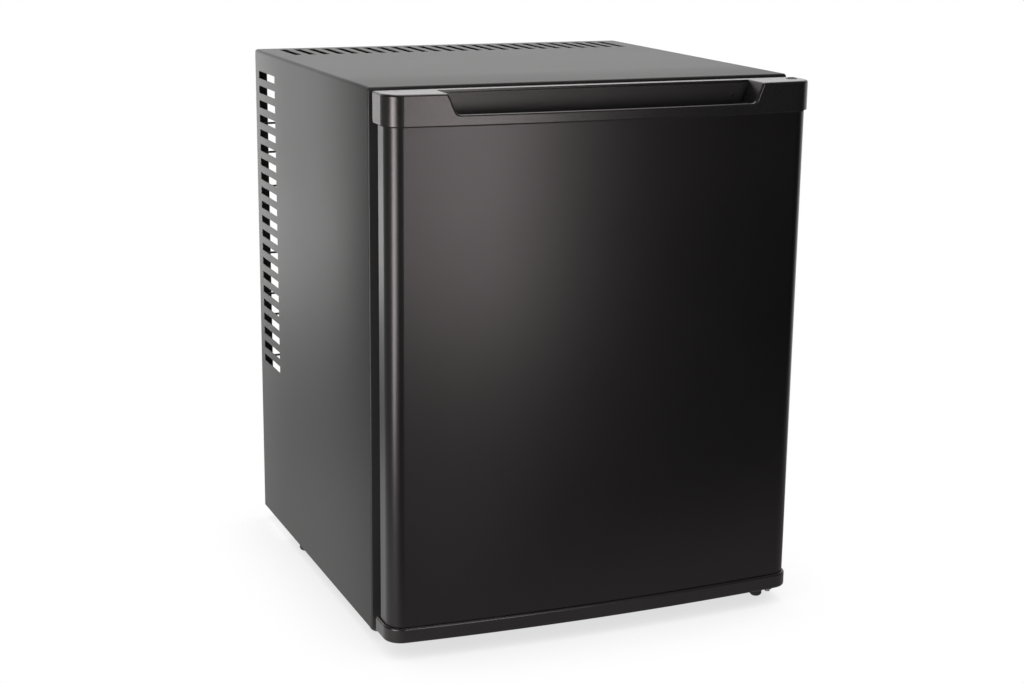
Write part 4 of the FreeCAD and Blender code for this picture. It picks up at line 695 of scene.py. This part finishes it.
def makeFloor(look):
    half = look["size"] / 2
    corners = [(-half, -half, 0), (half, -half, 0), (half, half, 0), (-half, half, 0)]
    mesh = bpy.data.meshes.new("floor")
    mesh.from_pydata(corners, [], [(0, 1, 2, 3)])
    floor = bpy.data.objects.new("floor", mesh)
    bpy.context.scene.collection.objects.link(floor)
    finish = Finish("floorPaper")
    sight, gloss, clear = finish.rays()
    seen = sight.of("MAXIMUM", gloss).of("MAXIMUM", clear)
    # Painted shadow: the floor darkens where ambient occlusion finds the object close
    near = finish.add("ShaderNodeAmbientOcclusion",
                      {"samples": look["contactSamples"], "only_local": False},
                      {"Distance": look["contactReach"]}, "AO")
    shade = finish.span(near, 0.0, look["contactClear"], look["contactShade"], 1.0)
    level = gloss * floorGlow(finish, look) + (1 - gloss) * shade
    paintedFloorLevel = finish.blend(level, rgb(0.0), rgb(1.0))
    paper = finish.add("ShaderNodeEmission", {}, {"Color": paintedFloorLevel, "Strength": 1.0})
    finish.set(Base_Color=look["colour"], Roughness=look["rough"])
    plain = Signal(finish.tree, finish.shader.outputs[0])
    mixed = finish.add("ShaderNodeMixShader", {}, {0: seen, 1: plain, 2: paper})
    finish.tree.links.new(mixed.socket, finish.tree.nodes["Material Output"].inputs[0])
    mesh.materials.append(finish.material)


makeFloor(floorLook)


# Studio: one even fill for the colours; reflections see a white wall behind and a dim room in front
studioLook = dict(fill=0.42, wall=0.9, room=0.05, leftFrom=-60.0, leftTo=-10.0, rightFrom=95.0,
                  rightTo=65.0, roofFrom=0.6, roofTo=0.85, roof=0.3)


def makeWorld(look):
    world = bpy.data.worlds.new("studio")
    world.use_nodes = True
    bpy.context.scene.world = world
    air = Tree(world.node_tree)
    way = air.add("ShaderNodeTexCoord", {}, {}, "Generated")
    across, along, up = air.axes(way, 0, 1, 2)
    bearing = air.bearing(across, along)
    wall = air.span(bearing, look["leftFrom"], look["leftTo"])
    wall = wall * air.span(bearing, look["rightFrom"], look["rightTo"])
    seen = look["room"] + wall * (look["wall"] - look["room"])
    seen = seen + air.span(up, look["roofFrom"], look["roofTo"]) * (look["roof"] - seen)
    sight, gloss, clear = air.rays()
    straight = sight.of("MAXIMUM", clear)
    level = straight + (1 - straight) * (gloss * seen + (1 - gloss) * look["fill"])
    background = world.node_tree.nodes["Background"]
    background.inputs["Color"].default_value = rgb(1.0)
    world.node_tree.links.new(level.socket, background.inputs["Strength"])


makeWorld(studioLook)


def softBox(name, place, aim, size, power):
    light = bpy.data.lights.new(name, "AREA")
    light.shape, light.size, light.size_y, light.energy = "RECTANGLE", size[0], size[1], power
    lamp = bpy.data.objects.new(name, light)
    lamp.location = place
    lamp.rotation_euler = (Vector(aim) - Vector(place)).to_track_quat("-Z", "Y").to_euler()
    lamp.visible_camera = False
    bpy.context.scene.collection.objects.link(lamp)


# Soft boxes, in metres and watts: two for the door's front, two for its left edge, three behind
# and one above
softBoxes = [
    dict(name="doorStrip", place=(0.07, -1.45, 0.43), aim=(-0.05, -0.2, 0.43), size=(0.12, 0.84),
         power=1.6),
    dict(name="doorBox", place=(0.26, -1.45, 0.43), aim=(0.0, -0.2, 0.43), size=(0.16, 0.84),
         power=2.7),
    dict(name="edgeStrip", place=(-0.75, -0.50, 0.23), aim=(-0.19, -0.2, 0.25), size=(0.20, 0.46),
         power=2.0),
    dict(name="edgeBox", place=(-1.05, -0.92, 0.25), aim=(-0.2, -0.2, 0.25), size=(0.46, 0.50),
         power=4.8),
    dict(name="rearBox", place=(-0.3, 2.2, 0.35), aim=(-0.2, 0.1, 0.3), size=(1.1, 0.7),
         power=4.6),
    dict(name="lowBox", place=(-0.46, 1.15, 0.10), aim=(-0.2, 0.0, 0.25), size=(0.32, 0.18),
         power=0.38),
    dict(name="wallBox", place=(0.5, 2.4, 0.9), aim=(0.1, 0.0, 0.4), size=(2.4, 1.6), power=6.5),
    dict(name="topBox", place=(0.2, 0.3, 2.2), aim=(0.0, 0.0, 0.3), size=(1.4, 1.2), power=21.0),
]
for settings in softBoxes:
    softBox(**settings)


# Camera: eye and angles fitted to the photograph, no shift
cameraLook = dict(eye=(-0.6795, -1.6307, 0.6651), yaw=22.505, pitch=14.006, roll=0.655, lens=65.37,
                  sensor=36.0)


def makeCamera(look):
    data = bpy.data.cameras.new("photoCamera")
    data.lens, data.sensor_width = look["lens"], look["sensor"]
    camera = bpy.data.objects.new("photoCamera", data)
    yaw = Matrix.Rotation(-math.radians(look["yaw"]), 4, "Z")
    pitch = Matrix.Rotation(math.radians(90 - look["pitch"]), 4, "X")
    roll = Matrix.Rotation(math.radians(look["roll"]), 4, "Z")
    camera.matrix_world = Matrix.Translation(look["eye"]) @ (yaw @ pitch @ roll)
    bpy.context.scene.collection.objects.link(camera)
    bpy.context.scene.camera = camera


makeCamera(cameraLook)
bpy.context.scene.view_settings.view_transform = "Standard"
print("studio and camera ready")
